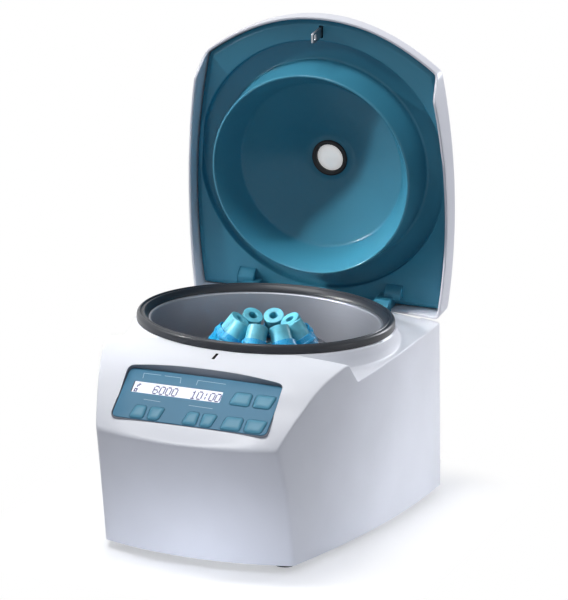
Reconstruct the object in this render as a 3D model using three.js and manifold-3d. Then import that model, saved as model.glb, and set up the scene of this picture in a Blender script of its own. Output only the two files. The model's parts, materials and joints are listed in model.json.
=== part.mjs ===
// Benchtop centrifuge with an eight-place angle rotor and a domed lid, shown with the lid open.
// Millimetres, +Z up. The front faces -Y and the rotor turns on the Z axis through x = 0, y = 0 of the build,
// which is then moved along Y so that the origin lies under the middle of the whole part.
import * as THREE from "three";
import { mergeVertices } from "three/addons/utils/BufferGeometryUtils.js";
import Module from "manifold-3d";

const wasm = await Module();
wasm.setup();

const degrees = Math.PI / 180;

// Clearances
const seatGap = 0.3; // between two pieces that touch
const slideGap = 0.4; // round a piece that slides
const overrun = 20; // how far a cutting body passes the surface that it cuts

// Rotor: eight slanted places
const places = 8;
const firstPlace = 3.3 * degrees;
const placeTilt = 35 * degrees;
const sleeveMouthRadius = 36;
const sleeveMouthZ = 168.4;
const sleeveLength = 82;
const sleeveRadius = 12.2;
const sleeveRimRadius = 13.2;
const sleeveRimHeight = 3;
const sleeveWall = 1.2;
const insertRadius = 9.7;
const insertRise = 20;
const insertHoleRadius = 3.7;
const insertHoleDepth = 70;
const insertChamfer = 1;
const tubeFootShare = 0.6; // radius of a sleeve's and an insert's flat foot as a share of its own
const rotorTopZ = 163;
const rotorBottomZ = 120;
const rotorRim = 22; // from the ring of the sleeves' mouths to the edge of the rotor's top
const rotorTopRadius = sleeveMouthRadius + rotorRim;
const rotorHubRadius = 22;
const rotorHubBottomZ = 104;
const rotorChamfer = 5;
const rotorWellRadius = 15; // well round the nut, at its rim and at its floor
const rotorWellFloorRadius = 11.25;
const rotorWellDepth = 5;
const shaftRadius = 5;
const shaftTopZ = 158;
const shaftCollarRadius = 13.2; // collar that the rotor's hub rests on
const shaftCollarHeight = 3;
const nutRadius = 7.5;
const nutHeight = 7;
const nutSides = 6;
const placeSteps = 14;

// Steel chamber round the turning sleeves, the collar that it hangs in, and the lid gasket on top
const swingRadius =
  sleeveMouthRadius + sleeveLength * Math.sin(placeTilt) + sleeveRadius * Math.cos(placeTilt);
const chamberClear = 12;
const chamberRadius = swingRadius + chamberClear;
const chamberFlange = 10.8;
const chamberFlangeRadius = chamberRadius + chamberFlange;
const collarEdge = 3.6; // from the chamber's flange to the collar's outer edge
const collarTopRadius = chamberFlangeRadius + collarEdge;
const collarTopZ = 184.4;
const collarFlare = 6.1; // how much wider the collar's foot is than its top
const collarFootRadius = collarTopRadius + collarFlare;
const collarShoulderShare = 0.4; // height of the collar's bend, as a share of its rise above the deck
const collarFootZ = 158;
const chamberSheet = 1.2;
const chamberFloorZ = 82;
const chamberCorner = 18;
const chamberHoleRadius = 17;
const chamberPlay = 1.5; // between the chamber's wall and the collar
const gasketEdge = 0.8; // from the gasket to the collar's outer edge
const gasketLap = 2.5; // from the chamber's wall to the gasket
const gasketRadius = collarTopRadius - gasketEdge;
const gasketInnerRadius = chamberRadius + gasketLap;
const gasketHeight = 8.3; // above the collar
const gasketTopZ = collarTopZ + gasketHeight;
// The gasket's section as shares of its width, inwards, and of its height
const gasketShares = [[0, 0.6], [0.12, 0.92], [0.24, 1], [0.38, 0.8], [0.52, 0.95], [0.88, 0.4]];
const roundSteps = 40; // facets round the large turned pieces
const drumSteps = 24; // round the middle-sized ones
const rodSteps = 16; // round the small ones
const cornerSteps = 3;
const curveSteps = 4; // along each curve of an outline

// Housing, a moulded shell: its bottom edge, front crease, crest, trough behind the crest, and rear edge
const footHeight = 7;
const wall = 3;
const bottomFrontY = -156.9;
const creaseY = -199.4;
const creaseZ = 122.2;
const crestY = -101.4;
const crestZ = 181.5;
const troughY = -81.2;
const troughZ = 161.5;
const deckMidY = 45;
const deckMidZ = 169.5;
const deckRearZ = 164.5;
const rearY = 147;
const frontBow = 17; // how far the middle of the front stands before its corners
const apronCrown = 7; // most that the apron's middle rises above its corners
const deckCrown = 10; // the same for the deck behind the trough
// Sides bow outwards. At the deck and at the bottom: half width, place along Y of the widest point, radius
const deckMargin = 10; // from the collar to the deck's side, at its widest
const deckHalf = collarTopRadius + deckMargin;
const deckWidestY = 39;
const deckBowRadius = 700;
const bottomSpread = 1; // how much further out the bottom edge is than the deck's
const bottomHalf = deckHalf + bottomSpread;
const bottomWidestY = 140;
const bottomBowRadius = 1077;
// Shares of the way from the bottom edge to the crease, forward and up
const lowerFaceShares = [[0, 0], [0.28, 0.34], [0.53, 0.63], [0.8, 0.85], [1, 1]];
// Shares from the crease to the crest: back, up, of the front bow, of the apron's crown
const apronShares = [
  [0.1, 0.19, 0.37, 0],
  [0.21, 0.36, 0.32, 0.14],
  [0.33, 0.52, 0.32, 0.4],
  [0.47, 0.69, 0.38, 0.95],
  [0.65, 0.85, 0.43, 0.95],
  [0.8, 0.93, 0.35, 0.85],
  [0.92, 0.98, 0.16, 0.62],
  [1, 1, 0, 0.5],
];
// A curve across X falls away from the middle with this power of the share of the half width
const bowPower = 2;
const apronPower = 3.2;
const acrossSteps = 14;
const alongSteps = 12;
const sweepReach = 1.1; // the profile is swept to this share of the deck's half width, past the sides
const sideLimit = 1.15; // and keeps its form beyond this share of the half width

// Control panel, set into the slanted front on its own plane
const panelY = -172.9;
const panelZ = 151.3;
const panelTilt = 37.6 * degrees;
const panelWidth = 145;
const panelHeight = 55.4;
const panelSheet = 1.2;
const panelCorner = 6;
const panelLedge = 3; // pocket floor under the panel
const panelRimShare = 0.09; // of the panel's height
const panelRim = panelHeight * panelRimShare; // pocket floor left round the board's opening
const panelFrame = 1.6; // lip round the pocket, and how far it stands above the panel
const panelProud = 0.2;
const boardSheet = 1.6;
const boardMargin = 4;
const windowWidthShare = 0.58; // of the panel's width
const windowWidth = panelWidth * windowWidthShare;
const windowHeightShare = 0.2275; // of the panel's height, as is the next
const windowHeight = panelHeight * windowHeightShare;
const windowUpShare = 0.1355;
const windowAsideShare = 0.15; // how far left of the middle the window lies, of the panel's width
const windowX = -panelWidth * windowAsideShare;
const windowUp = panelHeight * windowUpShare;
const keyRise = 1;
const keyTravel = 0.8;
const keyCapDepth = 0.4; // how far a key's cap reaches below the panel's face
const keyStem = 5;
const keyHeightShare = 0.267; // of the panel's height, as are the places of the two rows
const keyHeight = panelHeight * keyHeightShare;
const smallKeyWidth = 13.8;
const largeKeyWidth = 19.2;
const keySlant = 2.6; // how much narrower one end of a key is
const keyCorner = 1.6;
const upperKeyShare = 0.1445;
const lowerKeyShare = -0.35;
const keyColumnShares = [-0.687, -0.451, -0.003, 0.232, 0.528, 0.837]; // of half the panel's width

// Lid: hinge axis, opening, rim, dome, plate of the liner, and the boss that reaches into the chamber
const hingeY = 137.6;
const hingeZ = 165.6;
const lidOpening = 83.2 * degrees;
const lidGap = 1.5;
const lidWall = 2.5;
const lidRearY = 134.6;
const lidTopZ = 228;
const lidShoulderZ = 192;
const domeSteps = 10;
const domeRoundness = 2.6; // power of the dome's fall towards its edges
const domeFullness = 0.55;
const domeReach = 1.02; // the dome runs to this share of the lid's half size, past its outline
const lidFrontSteps = 16;
const linerGap = 0.5;
const linerSheet = 2.2;
const grooveClear = 0.9; // above the gasket
const grooveZ = gasketTopZ + grooveClear;
const grooveDepth = 9;
const linerPlateZ = grooveZ - grooveDepth;
const groovePlay = 3.4; // round the gasket
const grooveRadius = gasketRadius + groovePlay;
const bossPlay = 3.7; // from the boss's root to the chamber's wall
const bossRootRadius = chamberRadius - bossPlay;
const bossDraft = 3.5; // how much narrower the boss is at its lip
const lipRadius = bossRootRadius - bossDraft;
const lipZ = 152.6;
const lipWidth = 3;
const lipChamfer = 1;
const lipDepth = 8.8; // of the solid part of the boss behind its lip
const dishFootRadius = 80.5;
const dishFootZ = 185;
const dishSeatRadius = 24;
const dishSeatZ = 209.5;
const portRadius = 13.7;
const portBoreRadius = 15.8;
const portFlangeRadius = 17.6;
const portFlange = 2.4;
const portLip = 1; // how far the grommet reaches over the window's edge
const portWindowZ = 213;
const portWindowThickness = 3;

// Lid lock: the hook is a plate with a window, and the slot in the front takes it
const hookSetback = 9; // from the groove over the gasket
const hookY = -grooveRadius - hookSetback;
const hookWidth = 10;
const hookSheet = 2;
const hookTipZ = 160;
const hookWindow = 5.4;
const hookWindowUp = 3;
const hookFootWidth = 22;
const hookFootLength = 9;
const hookFootLap = 4;
const slotPlay = 1.1;
const lockWidth = 44;
const lockFront = 12; // how far the lock's housing reaches before and behind the hook's middle
const lockRear = 19;
const lockBottomZ = 152;
const latchWidth = 3.8;
const latchHeight = 3.8;
const latchLength = 14;
const latchTravel = 8;

// Front of the lid: its arc stands this far before the hook's middle
const lidNose = 15.4;
const lidArcY = hookY - lidNose;

// Hinge: an arm on each side of the lid and a bracket with a pin inside the housing
const armX = 67;
const armWidth = 15;
const armReach = 17;
const armFoot = 10.5;
const armBossRadius = 6;
const armSlotPlay = 2; // in front of an arm, in the housing
const pinRadius = 2.5;
const bracketSheet = 2;
const bracketHalfWidth = 13.5;
const bracketBottomZ = 130;
const ledgeHalf = 104; // flat ledge behind the lid, cut into the crowned deck so that the lid can tip back
const ledgeY = 138.8;
const ledgeZ = 164;

// Drive and electrics in the base
const traySheet = 2.5;
const vents = 6;
const ventPitch = 14;
const ventLength = 60;
const ventWidth = 5;
const motorRadius = 41;
const motorBottomZ = 20;
const motorTopZ = 70;
const motorNeckRadius = 14;
const motorNeckZ = 76;
const motorChamfer = 3;
const mountRadius = 60;
const mountSheet = 2.5;
const damperRadius = 8;
const dampers = 3;
const bootRadius = 24;
const bootFoot = 3; // rubber round the motor's neck
const bootSheet = 4; // rubber under the bowl
const bootThroatShare = 0.4;
const footRadius = 11;
const footInset = 22;
const footShares = [[0.85, 0], [1, 0.3], [0.9, 1]]; // of a foot's radius and height
const supplyEdge = 46.5; // from the middle of the supply's board to the bottom edge's widest place
const supplyX = bottomHalf - supplyEdge;
const supplyHalfX = 20;
const supplyHalfY = 52;
const supplyHeight = 26;
const supplyInset = 3;
const supplyStandoff = 5;
const standoffRadius = 3;

// Rear panel with the mains inlet, its fuse drawer and the mains switch
const rearOpeningHalf = 98;
const rearOpeningBottomZ = 22;
const rearOpeningTopZ = 120;
const rearSheet = 1.5;
const rearLap = 4;
const inletEdge = 32; // from the rear opening's left end to the inlet's middle
const inletX = inletEdge - rearOpeningHalf;
const inletZ = 58;
const inletWidth = 30;
const inletHeight = 42;
const inletDepth = 24;
const inletFlange = 2.5;
const socketWidth = 24;
const socketHeight = 16.5;
const socketDepth = 16;
const drawerHeight = 11;
const inletBar = 3; // plastic round the socket and the drawer
const bladePitch = 7;
const bladeThickness = 2;
const bladeHeight = 4;
const bladeOffset = 1.5; // the middle blade stands this far above the row, the outer ones below it
const bladeRecess = 6; // behind the inlet's face
const switchPitch = 42; // from the inlet to the switch
const switchX = inletX + switchPitch;
const switchWidth = 22;
const switchHeight = 30;
const switchBar = 3;
const rockerTilt = 12 * degrees;
const rockerHubHalf = 3;
const rockerProud = 1.5;
// The rocker's section, out from its pivot and up from its middle, as shares of its reach and half height
const rockerShares = [[0.45, -1], [1, -0.92], [0.82, 0], [1, 0.92], [0.45, 1]];
const louvres = 7;
const louvrePitch = 11;
const louvreHeight = 3.6;
const louvreWidth = 78;
const louvreEdge = 50; // from the rear opening's right end to the louvres' middle
const louvreX = rearOpeningHalf - louvreEdge;

// Materials
function finish(color, roughness, metalness) {
  return () => new THREE.MeshStandardMaterial({ color, roughness, metalness });
}
const housingPlastic = finish(0xe4e7ec, 0.42, 0);
const lidPlastic = finish(0xdfe3ea, 0.4, 0);
const linerPlastic = finish(0x3c7d96, 0.45, 0);
const gasketRubber = finish(0x2c2d31, 0.6, 0);
const steelSheet = finish(0xa9adb4, 0.32, 1);
const darkAluminium = finish(0x4a4a50, 0.45, 0.9);
const bluePlastic = finish(0x1f8fd0, 0.4, 0);
const turquoisePlastic = finish(0x63b9cc, 0.45, 0);
const panelFoil = finish(0x5a93b0, 0.5, 0);
const keyFoil = finish(0x5ba3ad, 0.5, 0);
const displayGlass = finish(0xf4f7ff, 0.2, 0);
const portGlass = finish(0xf2f2ee, 0.1, 0);
const boardLaminate = finish(0x2f6b46, 0.6, 0);
const blackPlastic = finish(0x1d1d20, 0.5, 0);
const blackRubber = finish(0x19191b, 0.8, 0);

// Solids
function solidFrom(geometry) {
  const bare = geometry.index ? geometry.toNonIndexed() : geometry.clone();
  bare.deleteAttribute("normal");
  bare.deleteAttribute("uv");
  const merged = mergeVertices(bare, 1e-4);
  return new wasm.Manifold(
    new wasm.Mesh({
      numProp: 3,
      vertProperties: merged.attributes.position.array,
      triVerts: new Uint32Array(merged.index.array),
    }),
  );
}

function geometryFrom(solid) {
  const mesh = solid.getMesh();
  const geometry = new THREE.BufferGeometry();
  const values = new Float32Array(mesh.numVert * 3);
  for (let i = 0; i < mesh.numVert; i += 1) {
    values.set(mesh.vertProperties.subarray(i * mesh.numProp, i * mesh.numProp + 3), i * 3);
  }
  geometry.setAttribute("position", new THREE.BufferAttribute(values, 3));
  geometry.setIndex(new THREE.BufferAttribute(new Uint32Array(mesh.triVerts), 1));
  const flat = geometry.toNonIndexed();
  flat.computeVertexNormals();
  return flat;
}

function node(name, solid, material) {
  const mesh = new THREE.Mesh(geometryFrom(solid), material());
  mesh.name = name;
  return mesh;
}

// A box between two corners
function box(x0, x1, y0, y1, z0, z1) {
  const geometry = new THREE.BoxGeometry(x1 - x0, y1 - y0, z1 - z0);
  return solidFrom(geometry.translate((x0 + x1) / 2, (y0 + y1) / 2, (z0 + z1) / 2));
}

// A body turned about the Z axis from [radius, z] points, counter-clockwise in the r-z plane
function turned(points, steps = roundSteps) {
  const profile = points.map(([r, z]) => new THREE.Vector2(r, z));
  const first = points[0];
  const last = points[points.length - 1];
  const onAxis = first[0] === 0 && last[0] === 0;
  if (!onAxis) {
    profile.push(profile[0].clone());
  }
  return solidFrom(new THREE.LatheGeometry(profile, steps).rotateX(90 * degrees));
}

function cylinder(radius, z0, z1, steps = drumSteps) {
  return turned([[0, z0], [radius, z0], [radius, z1], [0, z1]], steps);
}

// A closed outline in X-Y, raised from z0 to z1
function raised(outline, z0, z1) {
  const shape = outline instanceof THREE.Shape ? outline : new THREE.Shape(outline);
  const settings = { depth: z1 - z0, bevelEnabled: false, curveSegments: curveSteps };
  const geometry = new THREE.ExtrudeGeometry(shape, settings);
  return solidFrom(geometry.translate(0, 0, z0));
}

function roundedRectangle(width, height, radius, narrowTop = 0, narrowBottom = 0) {
  const half = width / 2;
  const up = height / 2;
  const corners = [[-half + narrowBottom, -up], [half, -up], [half, up], [-half + narrowTop, up]];
  const shape = new THREE.Shape();
  corners.forEach(([x, y], i) => {
    const [px, py] = corners[(i + 3) % 4];
    const [nx, ny] = corners[(i + 1) % 4];
    const before = Math.hypot(px - x, py - y);
    const after = Math.hypot(nx - x, ny - y);
    const start = [x + ((px - x) * radius) / before, y + ((py - y) * radius) / before];
    const end = [x + ((nx - x) * radius) / after, y + ((ny - y) * radius) / after];
    if (i === 0) {
      shape.moveTo(...start);
    } else {
      shape.lineTo(...start);
    }
    shape.quadraticCurveTo(x, y, ...end);
  });
  shape.closePath();
  return shape;
}

// Turns a solid's own X, Y and Z to Y, Z and X, so that an outline drawn in Y-Z can be raised along X
function alongX(geometry) {
  const turn = new THREE.Matrix4().makeBasis(
    new THREE.Vector3(0, 1, 0), new THREE.Vector3(0, 0, 1), new THREE.Vector3(1, 0, 0),
  );
  return geometry.applyMatrix4(turn);
}

// A closed body through sections that all hold the same number of points, capped at both ends
function lofted(sections, flatAxis) {
  const count = sections[0].length;
  const positions = sections.flat().flatMap((p) => [p.x, p.y, p.z]);
  const index = [];
  for (let s = 0; s < sections.length - 1; s += 1) {
    for (let i = 0; i < count; i += 1) {
      const a = s * count + i;
      const b = s * count + ((i + 1) % count);
      index.push(a, b, b + count, a, b + count, a + count);
    }
  }
  const flatten = flatAxis === "x" ? (p) => new THREE.Vector2(p.y, p.z) : (p) => new THREE.Vector2(p.x, p.y);
  const last = (sections.length - 1) * count;
  THREE.ShapeUtils.triangulateShape(sections[0].map(flatten), []).forEach(([a, b, c]) => index.push(a, c, b));
  THREE.ShapeUtils.triangulateShape(sections[sections.length - 1].map(flatten), []).forEach(([a, b, c]) => {
    index.push(last + a, last + b, last + c);
  });
  const geometry = new THREE.BufferGeometry();
  geometry.setAttribute("position", new THREE.Float32BufferAttribute(positions, 3));
  geometry.setIndex(index);
  return solidFrom(geometry);
}

function mix(a, b, share) {
  return a + (b - a) * share;
}

// Half width of the housing's bowed side at a place along Y and a height
function sideHalf(y, z) {
  const deck = deckHalf - (y - deckWidestY) ** 2 / (2 * deckBowRadius);
  const bottom = bottomHalf - (y - bottomWidestY) ** 2 / (2 * bottomBowRadius);
  return mix(bottom, deck, (z - footHeight) / (crestZ - footHeight));
}

// Points of the side profile as [y, z, bow, crown, power], from the bottom front edge round to the rear
function sideProfile() {
  const lower = lowerFaceShares.map(([forward, up]) => [
    mix(bottomFrontY, creaseY, forward), mix(footHeight, creaseZ, up), frontBow, 0, bowPower,
  ]);
  const apron = apronShares.map(([back, up, bowShare, crownShare]) => [
    mix(creaseY, crestY, back), mix(creaseZ, crestZ, up), frontBow * bowShare, apronCrown * crownShare,
    apronPower,
  ]);
  const deck = [
    [troughY, troughZ, 0, deckCrown, bowPower],
    [(troughY + deckMidY) / 2, (troughZ + deckMidZ * 2) / 3, 0, deckCrown, bowPower],
    [deckMidY, deckMidZ, 0, deckCrown, bowPower],
    [(deckMidY + rearY) / 2, (deckMidZ * 2 + deckRearZ) / 3, 0, deckCrown, bowPower],
    [rearY, deckRearZ, 0, deckCrown, bowPower],
  ];
  return [...lower, ...apron, ...deck];
}

// The profile swept across X, set in by a wall, raised by a lift, with its bottom at a height
function sweptProfile(inset, lift, bottomZ) {
  const profile = sideProfile();
  const reach = deckHalf * sweepReach;
  const sections = [];
  for (let s = 0; s <= acrossSteps; s += 1) {
    const x = mix(-reach, reach, s / acrossSteps);
    const section = profile.map(([y, z, bow, crown, power]) => {
      const share = 1 - Math.min(Math.abs(x / sideHalf(y, z)), sideLimit) ** power;
      return new THREE.Vector3(x, y - bow * share, z + crown * share + lift);
    });
    const inner = section.map((p, i) => {
      const before = section[Math.max(i - 1, 0)];
      const after = section[Math.min(i + 1, section.length - 1)];
      const along = Math.hypot(after.y - before.y, after.z - before.z);
      return new THREE.Vector3(
        x,
        p.y + (inset * (after.z - before.z)) / along,
        p.z - (inset * (after.y - before.y)) / along,
      );
    });
    const lean = (inner[1].y - inner[0].y) / (inner[1].z - inner[0].z);
    inner[0].y += (bottomZ - inner[0].z) * lean;
    inner[0].z = bottomZ;
    const rear = rearY + overrun;
    inner[inner.length - 1].y = rear;
    sections.push([...inner.reverse(), new THREE.Vector3(x, rear, bottomZ)]);
  }
  return lofted(sections, "x");
}

// The plan of the housing between two heights, set in by a wall
function plan(inset, z0, z1, frontY, backY) {
  const loop = (z) => {
    const points = [];
    for (let i = 0; i <= alongSteps; i += 1) {
      const y = mix(frontY, backY, i / alongSteps);
      points.push(new THREE.Vector3(sideHalf(y, z) - inset, y, z));
    }
    for (let i = alongSteps; i >= 0; i -= 1) {
      const y = mix(frontY, backY, i / alongSteps);
      points.push(new THREE.Vector3(inset - sideHalf(y, z), y, z));
    }
    return points;
  };
  return lofted([loop(z0), loop(z1)], "z");
}

function bodySolid(inset, bottomZ) {
  const front = creaseY - frontBow - overrun;
  const sides = plan(inset, bottomZ, crestZ + overrun, front, rearY - inset);
  return sweptProfile(inset, 0, bottomZ).intersect(sides);
}

// A solid modelled flat, moved onto the control panel's plane
function onPanel(solid) {
  const place = new THREE.Matrix4().makeRotationX(panelTilt);
  place.setPosition(0, panelY, panelZ);
  return solid.transform(place.elements);
}

// Control panel and keys
function keyList() {
  const [c1, c2, c3, c4, c5, c6] = keyColumnShares.map((share) => (share * panelWidth) / 2);
  const [upper, lower] = [upperKeyShare, lowerKeyShare].map((share) => share * panelHeight);
  return [
    [c1, lower, smallKeyWidth, true],
    [c2, lower, smallKeyWidth, false],
    [c3, lower, smallKeyWidth, true],
    [c4, lower, smallKeyWidth, false],
    [c5, lower, largeKeyWidth, true],
    [c6, lower, largeKeyWidth, false],
    [c5, upper, largeKeyWidth, true],
    [c6, upper, largeKeyWidth, false],
  ];
}

function keyShape(width, leftOfPair, play) {
  const shape = roundedRectangle(width + 2 * play, keyHeight + 2 * play, keyCorner, keySlant, 0);
  const side = leftOfPair ? 1 : -1;
  return new THREE.Shape(shape.getPoints(3).map((p) => new THREE.Vector2(p.x * side, p.y * side)));
}

function keySolid([x, up, width, leftOfPair], play, z0, z1) {
  return raised(keyShape(width, leftOfPair, play), z0, z1).translate([x, up, 0]);
}

function boardTop() {
  return -panelSheet - seatGap - panelLedge - seatGap;
}

function controlPanel() {
  let panel = raised(roundedRectangle(panelWidth, panelHeight, panelCorner), -panelSheet, 0);
  keyList().forEach((key) => {
    panel = panel.subtract(keySolid(key, slideGap, -overrun, overrun));
  });
  const pane = box(
    windowX - windowWidth / 2, windowX + windowWidth / 2,
    windowUp - windowHeight / 2, windowUp + windowHeight / 2, -overrun, overrun,
  );
  return onPanel(panel.subtract(pane));
}

function displayModule() {
  const halfWidth = windowWidth / 2 - seatGap;
  const halfHeight = windowHeight / 2 - seatGap;
  return onPanel(
    box(
      windowX - halfWidth, windowX + halfWidth, windowUp - halfHeight, windowUp + halfHeight,
      boardTop() + seatGap, -seatGap,
    ),
  );
}

function controlKey(key) {
  const [x, up] = key;
  const half = keyStem / 2;
  const stemFoot = boardTop() + keyTravel + seatGap;
  const stem = box(x - half, x + half, up - half, up + half, stemFoot, 0);
  return onPanel(keySolid(key, 0, -keyCapDepth, keyRise).add(stem));
}

function controlBoard() {
  const halfWidth = panelWidth / 2 - boardMargin;
  const halfHeight = panelHeight / 2 - boardMargin;
  return onPanel(box(-halfWidth, halfWidth, -halfHeight, halfHeight, boardTop() - boardSheet, boardTop()));
}

function panelPocket(outer) {
  const floorTop = -panelSheet - seatGap;
  const floorBottom = floorTop - panelLedge;
  const rim = wall + seatGap;
  const outline = (grow) => roundedRectangle(panelWidth + 2 * grow, panelHeight + 2 * grow, panelCorner);
  const block = onPanel(raised(outline(rim), floorBottom, overrun)).intersect(outer);
  const hollow = onPanel(raised(outline(seatGap), floorTop, overrun * 2));
  const behind = onPanel(raised(outline(-panelRim), floorBottom - seatGap, overrun * 2));
  const frame = onPanel(raised(outline(panelFrame), floorBottom, panelProud));
  return { block: block.add(frame), cut: hollow.add(behind) };
}

// Housing
function rearLedge(grow) {
  const half = ledgeHalf + grow;
  return box(-half, half, ledgeY - grow, rearY + overrun, ledgeZ - grow, crestZ + overrun);
}

function housing() {
  const outer = bodySolid(0, footHeight);
  const { block, cut } = panelPocket(outer);
  const collar = turned([
    [0, collarFootZ], [collarFootRadius, collarFootZ], [collarFootRadius, deckRearZ],
    [collarTopRadius + collarFlare * collarShoulderShare, mix(deckRearZ, collarTopZ, collarShoulderShare)],
    [collarTopRadius, collarTopZ], [0, collarTopZ],
  ]);
  const mouth = cylinder(
    chamberRadius + chamberSheet + chamberPlay, footHeight + wall, collarTopZ + overrun, roundSteps,
  );
  const seat = cylinder(collarTopRadius, collarTopZ, collarTopZ + overrun, roundSteps);
  const slot = box(
    -hookSheet / 2 - slotPlay, hookSheet / 2 + slotPlay,
    hookY - hookWidth / 2 - slotPlay, hookY + hookWidth / 2 + slotPlay,
    lockBottomZ, crestZ + overrun,
  );
  const hollow = bodySolid(wall, footHeight - overrun).subtract(rearLedge(wall));
  let shell = outer.add(collar).subtract(hollow).add(block);
  shell = shell.subtract(mouth).subtract(seat).subtract(cut).subtract(slot).subtract(rearLedge(0));
  [-armX, armX].forEach((x) => {
    const half = armWidth / 2 + bracketSheet + 2 * slideGap;
    const front = hingeY - armReach - armSlotPlay;
    shell = shell.subtract(
      box(x - half, x + half, front, rearY - wall, ledgeZ - overrun, crestZ + overrun),
    );
  });
  const rearOpening = box(
    -rearOpeningHalf, rearOpeningHalf, rearY - wall - overrun, rearY + overrun,
    rearOpeningBottomZ, rearOpeningTopZ,
  );
  return shell.subtract(rearOpening);
}

// Base tray with cooling slots, and feet
function baseTray() {
  const inside = bodySolid(wall + seatGap, footHeight - overrun);
  const sheet = box(-bottomHalf, bottomHalf, creaseY, rearY, footHeight, footHeight + traySheet);
  let tray = inside.intersect(sheet);
  const half = ventWidth / 2;
  const y = rearY / 2;
  const vent = box(-half, half, y, y + ventLength, footHeight - overrun, footHeight + overrun);
  for (let i = 0; i < vents; i += 1) {
    tray = tray.subtract(vent.translate([(i - (vents - 1) / 2) * ventPitch, 0, 0]));
  }
  return tray;
}

function foot() {
  const height = footHeight - seatGap;
  return turned([
    [0, 0], ...footShares.map(([out, up]) => [footRadius * out, height * up]), [0, height],
  ], rodSteps);
}

function footPlaces() {
  return [bottomFrontY + footInset, rearY - footInset].flatMap((y) =>
    [-1, 1].map((side) => [side * (sideHalf(y, footHeight) - footInset), y]),
  );
}

// Chamber and gasket
function chamber() {
  const r = chamberRadius;
  const s = chamberSheet;
  const inner = [];
  const outer = [];
  for (let i = 0; i <= cornerSteps; i += 1) {
    const a = (i / cornerSteps) * 90 * degrees;
    const dr = Math.cos(a);
    const dz = Math.sin(a);
    inner.push([r - chamberCorner + chamberCorner * dr, chamberFloorZ + s + chamberCorner * (1 - dz)]);
    outer.push([
      r - chamberCorner + (chamberCorner + s) * dr,
      chamberFloorZ + s + chamberCorner - (chamberCorner + s) * dz,
    ]);
  }
  const flangeZ = collarTopZ + seatGap;
  return turned([
    [chamberHoleRadius, chamberFloorZ],
    ...outer.reverse(),
    [r + s, flangeZ], [chamberFlangeRadius, flangeZ], [chamberFlangeRadius, flangeZ + s], [r, flangeZ + s],
    ...inner,
    [chamberHoleRadius, chamberFloorZ + s],
  ]);
}

function rimGasket() {
  const seat = collarTopZ + seatGap + chamberSheet + seatGap;
  const height = gasketTopZ - seat;
  const width = gasketRadius - gasketInnerRadius;
  return turned([
    [gasketInnerRadius, seat],
    [chamberFlangeRadius + seatGap, seat],
    [chamberFlangeRadius + seatGap, collarTopZ + seatGap],
    [gasketRadius, collarTopZ + seatGap],
    ...gasketShares.map(([inward, up]) => [gasketRadius - width * inward, seat + height * up]),
  ]);
}

// Lid shell: a prism on the lid's outline under a dome, hollowed, and trimmed to the housing's top
function lidOutline(inset) {
  const points = [];
  const arcHalf = sideHalf(crestY, crestZ) - inset;
  for (let i = 0; i < lidFrontSteps; i += 1) {
    const x = mix(-arcHalf, arcHalf, i / lidFrontSteps);
    points.push(new THREE.Vector2(x, mix(lidArcY + inset, crestY, (x / arcHalf) ** 2)));
  }
  for (let i = 0; i <= alongSteps; i += 1) {
    const y = mix(crestY, lidRearY - inset, i / alongSteps);
    points.push(new THREE.Vector2(sideHalf(y, crestZ) - inset, y));
  }
  for (let i = alongSteps; i > 0; i -= 1) {
    const y = mix(crestY, lidRearY - inset, i / alongSteps);
    points.push(new THREE.Vector2(inset - sideHalf(y, crestZ), y));
  }
  return points;
}

function dome(drop, bottomZ) {
  const middleY = (lidArcY + lidRearY) / 2;
  const halfY = (lidRearY - lidArcY) / 2;
  const sections = [];
  for (let s = 0; s <= domeSteps; s += 1) {
    const u = mix(-1, 1, s / domeSteps);
    const x = deckHalf * u * domeReach;
    const top = [];
    for (let i = 0; i <= domeSteps; i += 1) {
      const v = mix(-1, 1, i / domeSteps);
      const fall = Math.max(0, (1 - Math.abs(u) ** domeRoundness) * (1 - Math.abs(v) ** domeRoundness));
      const z = mix(lidShoulderZ, lidTopZ, fall ** domeFullness) - drop;
      top.push(new THREE.Vector3(x, middleY + halfY * v * domeReach, z));
    }
    const front = new THREE.Vector3(x, top[0].y, bottomZ);
    const back = new THREE.Vector3(x, top[top.length - 1].y, bottomZ);
    sections.push([...top.reverse(), front, back]);
  }
  return lofted(sections, "x");
}

function lidShell() {
  const bottomZ = troughZ - overrun;
  const underZ = bottomZ - overrun;
  const outer = raised(lidOutline(0), bottomZ, lidTopZ + overrun).intersect(dome(0, bottomZ));
  const inner = raised(lidOutline(lidWall), underZ, lidTopZ).intersect(dome(lidWall, underZ));
  const housingTop = sweptProfile(0, lidGap, underZ);
  const port = cylinder(portFlangeRadius + seatGap, lidShoulderZ, lidTopZ + overrun);
  return outer.subtract(inner).subtract(housingTop).subtract(port);
}

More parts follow.
